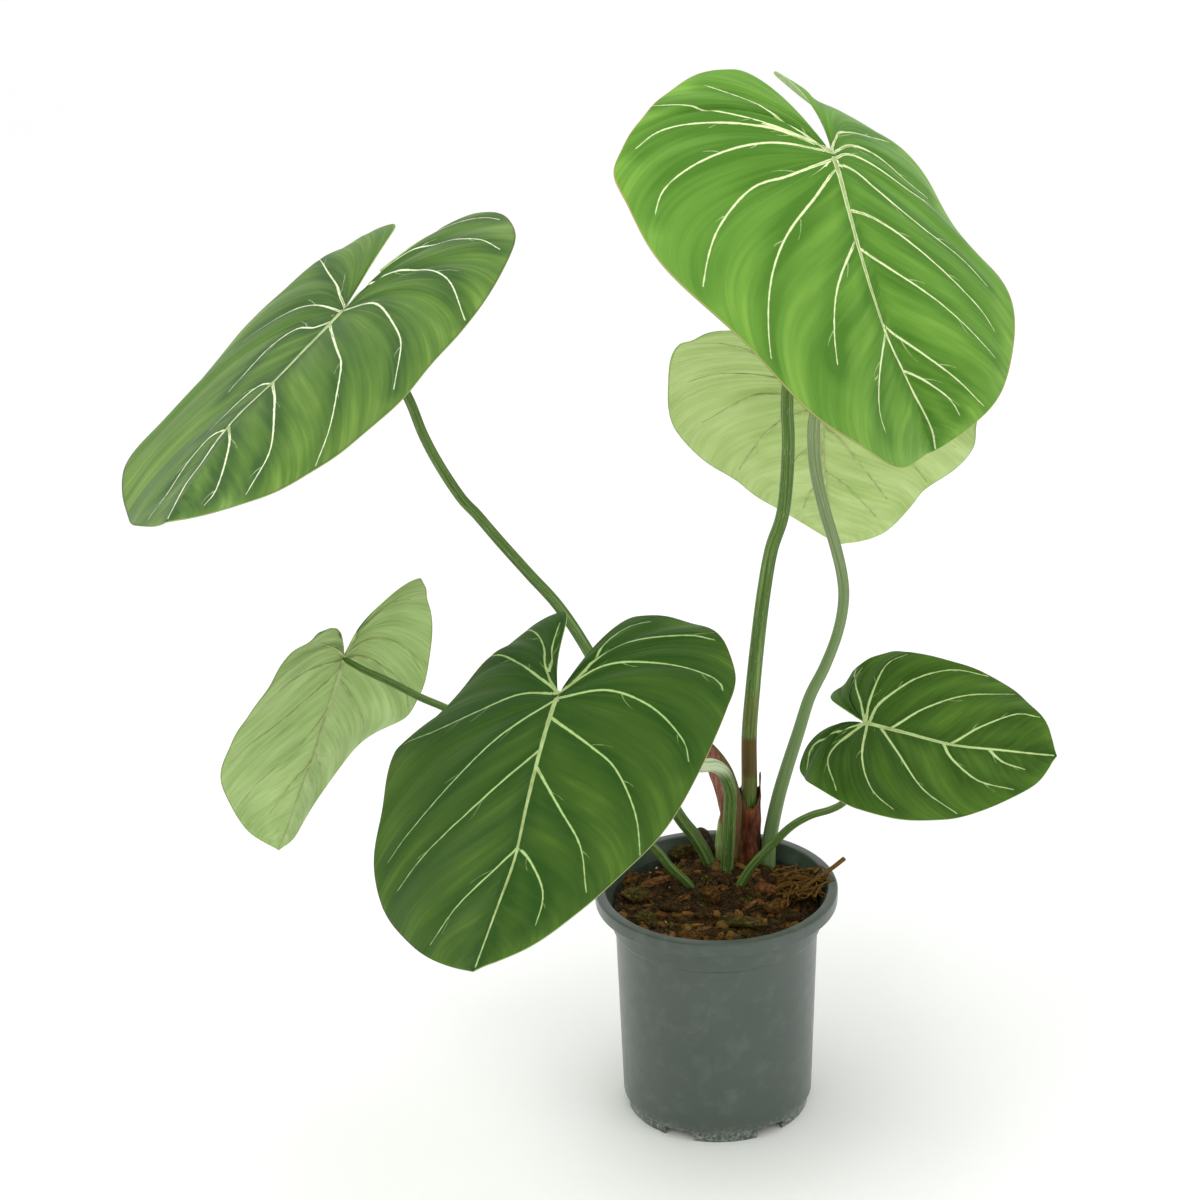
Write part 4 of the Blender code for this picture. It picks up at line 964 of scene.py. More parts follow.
def stalk_skin(name, leaf):
    """Leaf stalk: smooth firm cuticle, striated and flecked, mid green with pale and dark fine lines."""
    made, tree, shader = new_material("Striated leaf stalk " + name, 0.5, 0.2)
    around = node(tree, SPLIT,
                  {0: node(tree, "ShaderNodeAttribute", out="Vector", attribute_name="around")}, None)
    reach = node(tree, "ShaderNodeAttribute", out="Fac", attribute_name="reach")

    def stripes(round_, along, seed):
        place = node(tree, JOIN, {
            0: node(tree, MATH, {0: around.outputs[0], 1: round_}, operation="MULTIPLY"),
            1: node(tree, MATH, {0: around.outputs[1], 1: round_}, operation="MULTIPLY"),
            2: node(tree, MATH, {0: reach, 1: along, 2: seed}, operation="MULTIPLY_ADD")})
        return node(tree, NOISE, {"Vector": place, "Scale": 1.0, "Detail": 2.0})

    fine = stripes(7.0, 14.0, 1.0)
    wide = stripes(2.2, 9.0, 5.0)
    flecks = stripes(9.0, 130.0, 9.0)
    light = node(tree, MATH, {0: fine, 1: 0.9, 2: node(tree, MATH, {0: wide, 1: 0.9, 2: -0.4},
                                                       operation="MULTIPLY_ADD")}, operation="MULTIPLY_ADD")
    skin = node(tree, RAMP, {0: light}, stops=((0.15, leaf.stalk_tones[0]), (0.85, leaf.stalk_tones[2]),
                                               (0.5, leaf.stalk_tones[1])))
    pale = node(tree, RANGE, {"Value": flecks, "From Min": 0.62, "From Max": 0.72, "To Max": 0.5})
    skin = node(tree, MIX, {FACTOR: pale, COLOUR_A: skin, COLOUR_B: linear("b6c39b")}, COLOUR_OUT,
                data_type="RGBA")
    height = node(tree, SPLIT, {0: node(tree, "ShaderNodeTexCoord", out="Object")}, "Z")
    for low, high, soft, colour, share in leaf.stains:
        rise = node(tree, RANGE,
                    {"Value": height, "From Min": (low - soft) * MM, "From Max": (low + soft) * MM},
                    interpolation_type="SMOOTHSTEP")
        fall = node(tree, RANGE,
                    {"Value": height, "From Min": (high + soft) * MM, "From Max": (high - soft) * MM,
                                  "To Max": share}, interpolation_type="SMOOTHSTEP")
        inside = node(tree, MATH, {0: rise, 1: fall}, operation="MULTIPLY")
        torn = node(tree, RANGE, {"Value": wide, "From Min": 0.3, "From Max": 0.55, "To Min": 0.35})
        inside = node(tree, MATH, {0: inside, 1: torn}, operation="MULTIPLY")
        skin = node(tree, MIX, {FACTOR: inside, COLOUR_A: skin, COLOUR_B: linear(colour)}, COLOUR_OUT,
                    data_type="RGBA")
    tree.links.new(skin, shader.inputs["Base Color"])
    relief_bump(tree, shader, fine, 0.35)
    return made


def filleted(corners, steps=5):
    """The (r, z) outline of (r, z, rounding) corners, each rounded by a short curve."""
    made = []
    for k, (r, z, rounding) in enumerate(corners):
        here = np.array((r, z))
        if rounding == 0.0:
            made.append((r, z))
            continue
        ends = []
        for other in (corners[k - 1], corners[(k + 1) % len(corners)]):
            run = np.array(other[:2]) - here
            ends.append(here + run / np.linalg.norm(run) * min(rounding, np.linalg.norm(run) * 0.45))
        for j in range(steps + 1):
            u = j / steps
            made.append(tuple(ends[0] * (1 - u) ** 2 + here * 2 * u * (1 - u) + ends[1] * u * u))
    return made


def turned_object(name, outline, sides, skin, smooth_angle=35.0):
    """A closed (r, z) outline turned round Z; r = 0 is a pole."""
    points, rings = [], []
    for r, z in outline:
        if r < 1e-6:
            rings.append([len(points)] * sides)
            points.append((0.0, 0.0, z))
            continue
        rings.append(range(len(points), len(points) + sides))
        points.extend((r * math.cos(2 * math.pi * j / sides), r * math.sin(2 * math.pi * j / sides), z)
                      for j in range(sides))
    faces = []
    for low, high in zip(rings, rings[1:] + rings[:1]):
        for j in range(sides):
            i = (j + 1) % sides
            ring = dict.fromkeys((low[j], low[i], high[i], high[j]))
            if len(ring) > 2:
                faces.append(tuple(ring))
    obj = mesh_object(name, points, faces, (skin,), smooth_angle)
    face_out(obj, smooth_angle)
    return obj


def face_out(obj, smooth_angle):
    """Merge doubles and turn a closed mesh's faces outward."""
    work = bmesh.new()
    work.from_mesh(obj.data)
    bmesh.ops.remove_doubles(work, verts=work.verts, dist=0.02 * MM)
    bmesh.ops.recalc_face_normals(work, faces=work.faces)
    work.to_mesh(obj.data)
    work.free()
    obj.data.shade_smooth()
    obj.data.set_sharp_from_angle(angle=math.radians(smooth_angle))


def pot_plastic(looks):
    """Moulded polypropylene nursery pot: satin dark grey-green, dusty, with lime deposits low down."""
    made, tree, shader = new_material("Moulded polypropylene", 0.42, 0.6)
    place = node(tree, SPLIT, {0: node(tree, "ShaderNodeTexCoord", out="Object")}, None)
    base = node(tree, MIX, {FACTOR: grain(tree, 60.0, 2.0), COLOUR_A: (*looks.pot_dark, 1.0),
                            COLOUR_B: (*looks.pot_light, 1.0)}, COLOUR_OUT, data_type="RGBA")
    film = node(tree, RANGE, {"Value": grain(tree, 14.0, 6.0, 0.65, 3.0), "From Min": 0.5, "From Max": 0.8,
                              "To Max": 0.22})
    base = node(tree, MIX, {FACTOR: film, COLOUR_A: base, COLOUR_B: linear("7d8a80")}, COLOUR_OUT,
                data_type="RGBA")
    low = node(tree, RANGE, {"Value": place.outputs[2], "From Min": 16.0 * MM, "From Max": 2.0 * MM,
                             "To Max": 0.5}, interpolation_type="SMOOTHSTEP")
    crust = node(tree, RANGE, {"Value": grain(tree, 3.0, 5.0, 0.7, 8.0), "From Min": 0.45, "From Max": 0.62})
    lime = node(tree, MATH, {0: low, 1: crust}, operation="MULTIPLY")
    base = node(tree, MIX, {FACTOR: lime, COLOUR_A: base, COLOUR_B: linear("b9bfae")}, COLOUR_OUT,
                data_type="RGBA")
    tree.links.new(base, shader.inputs["Base Color"])
    rough = node(tree, RANGE, {"Value": grain(tree, 9.0, 4.0, 0.6, 5.0), "To Min": 0.24, "To Max": 0.42})
    tree.links.new(rough, shader.inputs["Roughness"])
    relief_bump(tree, shader, grain(tree, 0.9, 2.0), 0.05)
    return made


def dressed_pot(looks):
    """The pot: rolled lip, collar, tapered wall, foot ring with its notches, hub and drains."""
    lip_z = POT_H - LIP_H
    step_z = POT_H - COLLAR_H
    outline = filleted([
        (MOUTH_R, POT_H, 1.3), (RIM_R, POT_H, 2.0), (RIM_R - 0.3, lip_z, 0.9),
        (COLLAR_R + 0.3, lip_z - 0.3, 0.5),
        (COLLAR_R - 1.0, step_z + 0.6, 1.2), (WALL_TOP_R, step_z - 1.2, 1.2),
        (WALL_FOOT_R, FOOT_H + 1.0, 1.4),
        (FOOT_R, FOOT_H, 0.6), (FOOT_R - 0.6, 0.0, 0.8), (FOOT_R - 3.6, 0.0, 0.6),
        (FOOT_R - 4.4, RECESS_Z, 0.6),
        (HUB_R + 1.0, RECESS_Z, 0.6), (HUB_R, 0.0, 0.6), (0.0, 0.0, 0.0), (0.0, FLOOR_Z, 0.0),
        (WALL_FOOT_R - WALL, FLOOR_Z, 1.0), (WALL_TOP_R - WALL, step_z - 2.4, 1.2),
        (COLLAR_R - 1.0 - WALL, step_z - 0.2, 1.0), (COLLAR_R + 0.3 - WALL, lip_z - 1.4, 0.8),
        (MOUTH_R - 1.2, POT_H - 3.4, 0.8)])
    pot = turned_object("dressed_pot", outline, POT_SIDES, pot_plastic(looks))
    cutters = []
    for k in range(NOTCHES):
        turn = math.radians(NOTCH_FIRST + 360.0 * k / NOTCHES)
        here = Matrix.Rotation(turn, 4, "Z")
        box = bmesh.new()
        bmesh.ops.create_cube(box, size=1.0, matrix=here @ Matrix.Translation(
            ((FOOT_R - 2.0) * MM, 0.0, (RECESS_Z / 2 - 1.0) * MM)) @ Matrix.Diagonal(
            (10.0 * MM, NOTCH_W * MM, (RECESS_Z + 1.8) * MM, 1.0)))
        bmesh.ops.create_cone(box, cap_ends=True, segments=24, radius1=DRAIN_R * MM, radius2=DRAIN_R * MM,
                              depth=8.0 * MM, matrix=here @ Matrix.Translation(
                                  ((FOOT_R - 16.0) * MM, 0.0, (RECESS_Z + FLOOR_Z) / 2 * MM)))
        mesh = bpy.data.meshes.new("cutter")
        box.to_mesh(mesh)
        box.free()
        cutters.append(bpy.data.objects.new("cutter", mesh))
    cut(pot, cutters)
    return pot


def cut(obj, cutters):
    """Take the cutters out of obj, keep its plain mesh and remove them."""
    for cutter in cutters:
        bpy.context.scene.collection.objects.link(cutter)
        modifier = obj.modifiers.new("cut", "BOOLEAN")
        modifier.operation = "DIFFERENCE"
        modifier.solver = "EXACT"
        modifier.object = cutter
    keep_result(obj)
    for cutter in cutters:
        bpy.data.objects.remove(cutter, do_unlink=True)
    obj.data.shade_smooth()
    obj.data.set_sharp_from_angle(angle=math.radians(35.0))


def soil_height(x, y):
    """Height of the mix, as in the frame: a mound at the crown, and lumps all over."""
    reach = math.hypot(x - MOUND_AT[0], y - MOUND_AT[1]) / MOUND_R
    lump = noise.noise(Vector((x / 13.0, y / 13.0, 3.1))) * 2.6
    crumb = noise.noise(Vector((x / 5.5, y / 5.5, 7.7))) * 1.3
    edge = min(1.0, max(0.0, (BED_R - math.hypot(x, y)) / 12.0))
    return SOIL_EDGE_Z + MOUND * math.exp(-reach * reach) + (lump + crumb) * (0.35 + 0.65 * edge)


def fine_soil(x, y):
    """Height of the mix with its small crumbs."""
    small = noise.noise(Vector((x / 2.6, y / 2.6, 1.0))) * 1.1
    tiny = noise.noise(Vector((x / 1.1, y / 1.1, 4.0))) * 0.5
    return soil_height(x, y) + small + tiny


def peat():
    """Peat and composted bark: matt brown-black crumbs with lighter fibres and dry tan specks."""
    made, tree, shader = new_material("Peat and composted bark", 0.92, 0.25)
    skin = node(tree, RAMP, {0: grain(tree, 3.2, 6.0, 0.7)},
                stops=((0.3, "1a1008"), (0.75, "6a4a2a"), (0.48, "2d1f12"), (0.6, "463118")))
    specks = node(tree, RANGE, {"Value": grain(tree, 1.3, 2.0, 0.5, 4.0), "From Min": 0.66, "From Max": 0.74,
                                "To Max": 0.7})
    skin = node(tree, MIX, {FACTOR: specks, COLOUR_A: skin, COLOUR_B: linear("8a6c45")}, COLOUR_OUT,
                data_type="RGBA")
    tree.links.new(skin, shader.inputs["Base Color"])
    relief_bump(tree, shader, grain(tree, 1.6, 5.0, 0.7), 0.7)
    return made


def dressed_mix():
    """The potting mix: a solid down to the pot's floor, crumbly on top."""
    step_z = POT_H - COLLAR_H
    wall = [(WALL_FOOT_R - WALL, FLOOR_Z), (WALL_TOP_R - WALL, step_z - 2.4),
            (COLLAR_R - 1.0 - WALL, step_z + 1.0),
            (COLLAR_R - WALL, SOIL_EDGE_Z)]
    outline = [(0.0, FLOOR_Z + 0.4)] + [(r - 0.5, z + (0.4 if z == FLOOR_Z else 0.0)) for r, z in wall]
    edge_r = outline[-1][0]
    outline += [(edge_r * (k / MIX_RINGS) ** 0.9, SOIL_EDGE_Z + 1.0) for k in range(MIX_RINGS - 1, 0, -1)]
    outline.append((0.0, SOIL_EDGE_Z + 1.0))
    mix = turned_object("dressed_potting_mix", outline, 200, peat(), 60.0)
    for vertex in mix.data.vertices:
        if vertex.co.z > (SOIL_EDGE_Z - 0.5) * MM:
            vertex.co.z = fine_soil(vertex.co.x / MM, vertex.co.y / MM) * MM
    mix.data.update()
    return mix


def scatter_tree():
    """Nodes that lay copies of a small shape over a surface, each with its own turn, size and shade."""
    tree = bpy.data.node_groups.new("Litter over a surface", "GeometryNodeTree")
    for name, kind, way in (("Surface", "Geometry", "INPUT"), ("Shape", "Object", "INPUT"),
                            ("Per square metre", "Float", "INPUT"), ("Smallest", "Float", "INPUT"),
                            ("Largest", "Float", "INPUT"), ("Tilt", "Float", "INPUT"),
                            ("Seed", "Int", "INPUT"),
                            ("Skin", "Material", "INPUT"), ("Litter", "Geometry", "OUTPUT")):
        tree.interface.new_socket(name, in_out=way, socket_type="NodeSocket" + kind)
    given = node(tree, "NodeGroupInput", out=None).outputs
    spots = node(tree, "GeometryNodeDistributePointsOnFaces", {
        "Mesh": given["Surface"], "Density": given["Per square metre"], "Seed": given["Seed"]}, None)
    shape = node(tree, "GeometryNodeObjectInfo", {"Object": given["Shape"]}, "Geometry")
    low = node(tree, MATH, {0: given["Tilt"], 1: -1.0}, operation="MULTIPLY")
    turn = node(tree, "FunctionNodeRandomValue", {
        "Min": node(tree, JOIN, {0: low, 1: low, 2: 0.0}),
        "Max": node(tree, JOIN, {0: given["Tilt"], 1: given["Tilt"], 2: 6.283}), "Seed": given["Seed"]},
        data_type="FLOAT_VECTOR")
    size = node(tree, "FunctionNodeRandomValue", {"Min": given["Smallest"], "Max": given["Largest"],
                                                  "Seed": given["Seed"]}, "Value", data_type="FLOAT")
    laid = node(tree, "GeometryNodeInstanceOnPoints", {
        "Points": spots.outputs["Points"], "Instance": shape, "Rotation": turn, "Scale": size})
    shade = node(tree, "FunctionNodeRandomValue", {"Seed": given["Seed"]}, "Value", data_type="FLOAT")
    shaded = node(tree, "GeometryNodeStoreNamedAttribute",
                  {"Geometry": laid, "Name": "shade", "Value": shade},
                  data_type="FLOAT", domain="INSTANCE")
    real = node(tree, "GeometryNodeRealizeInstances", {0: shaded})
    skinned = node(tree, "GeometryNodeSetMaterial", {"Geometry": real, "Material": given["Skin"]})
    node(tree, "NodeGroupOutput", {0: skinned}, None)
    return tree


def small_shape(name, points, faces):
    """A loose mesh that a scatter copies; sizes in millimetres."""
    mesh = bpy.data.meshes.new(name)
    mesh.from_pydata([tuple(c * MM for c in p) for p in points], [], faces)
    return linked(name, mesh)


def crumb_shape(name, size, seed, cuts=1):
    """A lumpy pebble of twenty faces, or eighty with two cuts."""
    work = bmesh.new()
    bmesh.ops.create_icosphere(work, subdivisions=cuts, radius=1.0)
    rng = random.Random(seed)
    for vertex in work.verts:
        vertex.co = Vector(tuple(c * s for c, s in zip(vertex.co * rng.uniform(0.75, 1.2), size))) * MM
    mesh = bpy.data.meshes.new(name)
    work.to_mesh(mesh)
    work.free()
    return linked(name, mesh)


def litter_skin(name, dark, light, middle):
    """Dry litter, each bit its own shade between three colours."""
    made, tree, shader = new_material(name, 0.85, 0.25)
    shade = node(tree, "ShaderNodeAttribute", out="Fac", attribute_name="shade")
    mottle = node(tree, MATH, {0: grain(tree, 1.5, 3.0), 1: 0.6, 2: -0.3}, operation="MULTIPLY_ADD")
    skin = node(tree, RAMP, {0: node(tree, MATH, {0: shade, 1: mottle}, operation="ADD")},
                stops=((0.0, dark), (1.0, light), (0.55, middle)))
    tree.links.new(skin, shader.inputs["Base Color"])
    relief_bump(tree, shader, grain(tree, 0.8, 4.0, 0.65), 0.3)
    return made


def moss_tuft():
    """A tuft of moss: eleven little pointed leaves round a point."""
    rng = random.Random(5)
    points, faces = [], []
    for k in range(11):
        turn = 2 * math.pi * (k / 11 + rng.uniform(-0.04, 0.04))
        lean = rng.uniform(0.3, 1.1)
        out = Vector((math.cos(turn) * math.sin(lean), math.sin(turn) * math.sin(lean), math.cos(lean)))
        side = Vector((-math.sin(turn), math.cos(turn), 0.0))
        length = rng.uniform(1.5, 2.6)
        first = len(points)
        points += [tuple(-side * 0.16), tuple(side * 0.16), tuple(out * length * 0.6 + side * 0.26),
                   tuple(out * length * 0.6 - side * 0.26), tuple(out * length + UP * -0.25)]
        faces += [(first, first + 1, first + 2, first + 3), (first + 3, first + 2, first + 4)]
    return small_shape("moss_tuft", points, faces)


def lump_shape(name, kinds, skins):
    """The larger bits of litter of one piece: crusty clods, chips and mossy lumps, each sunk part way in."""
    work = bmesh.new()
    for place, size, turn, kind in LUMPS:
        if kind not in kinds:
            continue
        made = bmesh.ops.create_icosphere(work, subdivisions=4, radius=1.0)["verts"]
        spin = Matrix.Rotation(math.radians(turn), 3, "Z")
        for vertex in made:
            rough = noise.noise(vertex.co * 1.3 + Vector(place) * 0.37) * 0.42
            rough += noise.noise(vertex.co * 4.0 + Vector(place) * 0.11) * 0.22
            rough += noise.noise(vertex.co * 11.0) * 0.1
            local = Vector(c * s for c, s in zip(vertex.co * (1.0 + rough), size))
            vertex.co = (spin @ local + Vector(place)) * MM
        for face in {face for vertex in made for face in vertex.link_faces}:
            face.material_index = kinds.index(kind)
    mesh = bpy.data.meshes.new(name)
    work.to_mesh(mesh)
    work.free()
    for skin in skins:
        mesh.materials.append(skin)
    mesh.shade_smooth()
    return linked(name, mesh)


def clod_skin(name, dark, light, middle):
    """A crusty clod: crumbs and fibres stuck together, in three tones of one colour."""
    made, tree, shader = new_material(name, 0.9, 0.2)
    mottle = grain(tree, 2.6, 6.0, 0.72)
    skin = node(tree, RAMP, {0: mottle}, stops=((0.3, dark), (0.72, light), (0.5, middle)))
    tree.links.new(skin, shader.inputs["Base Color"])
    relief_bump(tree, shader, grain(tree, 1.1, 5.0, 0.7), 0.8)
    return made


def surface_patch(name, inside, step=2.0):
    """A patch of the mix's surface where inside(x, y) holds, to lay litter on."""
    count = int(2 * BED_R / step)
    points, faces, ids = [], [], {}

    def at(i, j):
        if (i, j) not in ids:
            x, y = i * step - BED_R, j * step - BED_R
            ids[i, j] = len(points)
            points.append((x, y, fine_soil(x, y)))
        return ids[i, j]

    for i in range(count):
        for j in range(count):
            x, y = (i + 0.5) * step - BED_R, (j + 0.5) * step - BED_R
            if math.hypot(x, y) < LITTER_R and inside(x, y):
                faces.append((at(i, j), at(i + 1, j), at(i + 1, j + 1), at(i, j + 1)))
    return small_shape(name, points, faces)


def scattered(name, patch, shape, tree, density, sizes, tilt, seed, skin):
    """One kind of litter laid on a patch, as a plain mesh."""
    run_tree(patch, tree,
             {"Shape": shape, "Per square metre": density, "Smallest": sizes[0], "Largest": sizes[1],
                           "Tilt": tilt, "Seed": seed, "Skin": skin})
    patch.name = name
    bpy.data.objects.remove(shape, do_unlink=True)
    return patch


def fibre_lines(rng, count):
    """Thin curved fibres that lie over the mix, each (points, radii)."""
    lines = []
    for _ in range(count):
        turn = rng.uniform(0, 2 * math.pi)
        reach = FIBRES_FROM_R * math.sqrt(rng.random())
        x, y = reach * math.cos(turn), reach * math.sin(turn)
        heading = rng.uniform(0, 2 * math.pi)
        length = rng.uniform(8.0, 34.0)
        arch = rng.uniform(0.3, 3.2)
        path = []
        for k in range(7):
            u = k / 6
            heading += rng.uniform(-0.35, 0.35)
            if math.hypot(x, y) > FIBRES_TO_R:
                break
            path.append((x, y, soil_height(x, y) + 0.6 + arch * math.sin(math.pi * u)))
            x += math.cos(heading) * length / 6
            y += math.sin(heading) * length / 6
        if len(path) > 2:
            radius = rng.uniform(0.22, 0.5)
            lines.append((path, [radius * (1.0 - 0.5 * k / len(path)) for k in range(len(path))]))
    return lines


def straw_lines(rng, count):
    """Straws and splinters of the heap at the pot's rim, each (points, radii)."""
    lines = [(TWIG, TWIG_R)]
    for _ in range(count):
        out = rng.uniform(-16, 14)
        start = Vector(STRAW_FROM) + Vector((out, rng.uniform(-17, 17),
                                             rng.uniform(-3, 5) + 0.3 * max(out, 0)))
        turn = math.radians(rng.uniform(-60, 100))
        length = rng.uniform(7.0, 24.0)
        ahead = Vector((math.cos(turn), math.sin(turn), rng.uniform(-0.15, 0.35)))
        bow = Vector((-ahead.y, ahead.x, rng.uniform(0.0, 0.8))) * rng.uniform(-3.0, 3.0)
        radius = rng.uniform(0.4, 1.15)
        path = [start + ahead * length * (u - 0.5) + bow * (1 - (2 * u - 1) ** 2)
                for u in np.linspace(0, 1, 6)]
        path = [p for p in path if math.hypot(p.x, p.y) < STRAWS_TO_R]
        if len(path) > 2:
            lines.append((path, [radius * (1.0 - 0.1 * k) for k in range(len(path))]))
    return lines


def sheath_paper():
    """Dried leaf sheath: papery, torn, red-brown with tan creases and fibres."""
    made, tree, shader = new_material("Papery dried sheath", 0.72, 0.35)
    folds = grain(tree, 7.0, 4.0, 0.6, 2.0, (1.0, 1.0, 2.6))
    fibre = grain(tree, 1.3, 3.0, 0.6, 0.0, (1.0, 1.0, 9.0))
    light = node(tree, MATH, {0: fibre, 1: 0.5, 2: node(tree, MATH, {0: folds, 1: 0.9, 2: -0.2},
                                                        operation="MULTIPLY_ADD")}, operation="MULTIPLY_ADD")
    skin = node(tree, RAMP, {0: light},
                stops=((0.3, "1f0d06"), (0.82, "c08a50"), (0.5, "5f2d14"), (0.66, "8f4f26")))
    tree.links.new(skin, shader.inputs["Base Color"])
    relief_bump(tree, shader, light, 1.2)
    return made


def sheath_shell():
    """The dry sheath round the tall stalk's foot: thin, creased, with a torn, uneven top."""
    leaf = LEAVES["high_right"]
    path = np.array([p for p in stalk_line(leaf)[0] if SHEATH_FROM - 6.0 <= p[2] <= SHEATH_TO + 12.0])
    sides, rings = 64, 40
    points = []
    for layer, inset in ((0, 0.0), (1, 0.55)):
        for k in range(rings + 1):
            for j in range(sides):
                turn = 2 * math.pi * j / sides
                torn = 16.0 * math.exp(-(math.sin(turn / 2) / 0.22) ** 2)
                torn += 5.0 * math.exp(-(math.cos(turn / 2) / 0.4) ** 2)
                torn -= 9.0 * math.exp(-((turn - 1.5 * math.pi) / 0.6) ** 2)
                torn += 5.0 * noise.noise(Vector((math.cos(turn) * 1.6, math.sin(turn) * 1.6, 5.0)))
                torn += 3.0 * noise.noise(Vector((math.cos(turn) * 7.0, math.sin(turn) * 7.0, 8.0)))
                z = SHEATH_FROM - 4.0 + (SHEATH_TO + torn - SHEATH_FROM + 4.0) * k / rings
                x, y = (float(np.interp(z, path[:, 2], path[:, c])) for c in (0, 1))
                crease = noise.noise(Vector((math.cos(turn) * 2.2 + z / 26.0, math.sin(turn) * 2.2,
                                             z / 15.0)))
                flare = 1.2 * (k / rings) ** 3 + 1.6 * (1 - k / rings) ** 2
                r = leaf.stalk_r[0] + 1.15 + 1.5 * crease + flare - inset
                r = max(r, leaf.stalk_r[0] + 0.25 * (1 - layer))
                points.append((x + r * math.cos(turn), y + r * math.sin(turn), z))
    faces = []
    layer = (rings + 1) * sides
    for k in range(rings):
        for j in range(sides):
            i = (j + 1) % sides
            a, b = k * sides + j, k * sides + i
            faces.append((a, b, b + sides, a + sides))
            faces.append((layer + b, layer + a, layer + a + sides, layer + b + sides))
    for j in range(sides):
        i = (j + 1) % sides
        top = rings * sides
        faces.append((i, j, layer + j, layer + i))
        faces.append((top + j, top + i, layer + top + i, layer + top + j))
    return mesh_object("dressed_dry_sheath", points, faces, (sheath_paper(),), 80.0)


def cataphyll_skin():
    """Fading scale leaf: thin rosy-brown tissue with an olive edge, fibrous lengthwise."""
    made, tree, shader = new_material("Fading scale leaf", 0.6, 0.4)
    lay = node(tree, SPLIT, {0: node(tree, "ShaderNodeUVMap", uv_map="lay")}, None)
    fibre = grain(tree, 1.6, 4.0, 0.6, 1.0, (1.0, 1.0, 7.0))
    skin = node(tree, RAMP, {0: fibre}, stops=((0.25, "6a382a"), (0.8, "c79c88"), (0.52, "9c6353")))
    edge = node(tree, RANGE, {"Value": lay.outputs[0], "From Min": 0.74, "From Max": 0.9, "To Max": 0.85},
                interpolation_type="SMOOTHSTEP")
    skin = node(tree, MIX, {FACTOR: edge, COLOUR_A: skin, COLOUR_B: linear("6f6b3c")}, COLOUR_OUT,
                data_type="RGBA")
    tree.links.new(skin, shader.inputs["Base Color"])
    relief_bump(tree, shader, fibre, 0.5)
    return made


def cataphyll_strip():
    """The scale leaf: a thin strip with its edges bent forward, narrowing to a point."""
    path = smooth_path(CATAPHYLL, 2.5)
    across = np.linspace(-1.0, 1.0, 17)
    points, lay = [], []
    last = len(path) - 1
    stations = np.linspace(0.0, 1.0, len(CATAPHYLL_HALF))
    for k, centre in enumerate(path):
        ahead = path[min(k + 1, last)] - path[max(k - 1, 0)]
        ahead /= np.linalg.norm(ahead)
        side = np.cross(ahead, (0.0, -1.0, 0.0))
        side /= np.linalg.norm(side)
        face = np.cross(side, ahead)
        half = float(np.interp(k / last, stations, CATAPHYLL_HALF))
        for thick, row in ((0.35, across), (-0.35, across[::-1])):
            for u in row:
                ripple = 0.9 * noise.noise(Vector((u * 1.4, k / 9.0, 2.0))) * min(1.0, k / 12.0)
                points.append(centre + side * half * u + face * (half * 0.45 * u * u + thick + ripple))
                lay.append(((u + 1) / 2, k / last))
    ring = 2 * len(across)
    faces = [(k * ring + j, k * ring + (j + 1) % ring, (k + 1) * ring + (j + 1) % ring, (k + 1) * ring + j)
             for k in range(last) for j in range(ring)]
    faces.append(tuple(range(ring - 1, -1, -1)))
    faces.append(tuple(range(last * ring, (last + 1) * ring)))
    obj = mesh_object("dressed_cataphyll", points, faces, (cataphyll_skin(),), 60.0)
    layer = obj.data.uv_layers.new(name="lay")
    for loop in obj.data.loops:
        layer.data[loop.index].uv = lay[loop.vertex_index]
    return obj


def rough_tube(name, route, radii, skin, sides, lumps, lump_size, seed):
    """A closed tube along a route, rounded off at the top, with lumps pushed in and out of it."""
    path = smooth_path(route, 1.5)
    last = len(path) - 1
    stations = np.linspace(0.0, 1.0, len(radii))
    points = []
    for k, centre in enumerate(path):
        ahead = path[min(k + 1, last)] - path[max(k - 1, 0)]
        ahead /= np.linalg.norm(ahead)
        side = np.cross(ahead, (0.0, 1.0, 0.0))
        side /= np.linalg.norm(side)
        face = np.cross(ahead, side)
        here = float(np.interp(k / last, stations, radii))
        end = min(1.0, (last - k) / 4.0)
        here *= math.sqrt(1.0 - (1.0 - end) ** 2) if end < 1.0 else 1.0
        here = max(here, 0.12)
        for j in range(sides):
            turn = 2 * math.pi * j / sides
            spot = Vector(centre + (side * math.cos(turn) + face * math.sin(turn)) * here)
            r = here * (1.0 + lumps * noise.noise(spot / lump_size + Vector((seed, 0.0, 0.0))))
            points.append(centre + (side * math.cos(turn) + face * math.sin(turn)) * r)
    faces = [(k * sides + j, k * sides + (j + 1) % sides, (k + 1) * sides + (j + 1) % sides,
              (k + 1) * sides + j)
             for k in range(last) for j in range(sides)]
    faces.append(tuple(range(sides - 1, -1, -1)))
    faces.append(tuple(range(last * sides, (last + 1) * sides)))
    obj = mesh_object(name, points, faces, (skin,), 60.0)
    face_out(obj, 60.0)
    return obj


def rhizome_bark():
    """Corky rhizome end: rough dark brown, ringed by old scars, with paler scuffs."""
    made, tree, shader = new_material("Corky rhizome bark", 0.85, 0.3)
    rings = grain(tree, 4.0, 5.0, 0.65, 1.0, (2.0, 2.0, 0.6))
    skin = node(tree, RAMP, {0: rings}, stops=((0.3, "1f130c"), (0.75, "6b5138"), (0.52, "3a2718")))
    tree.links.new(skin, shader.inputs["Base Color"])
    relief_bump(tree, shader, rings, 1.2)
    return made


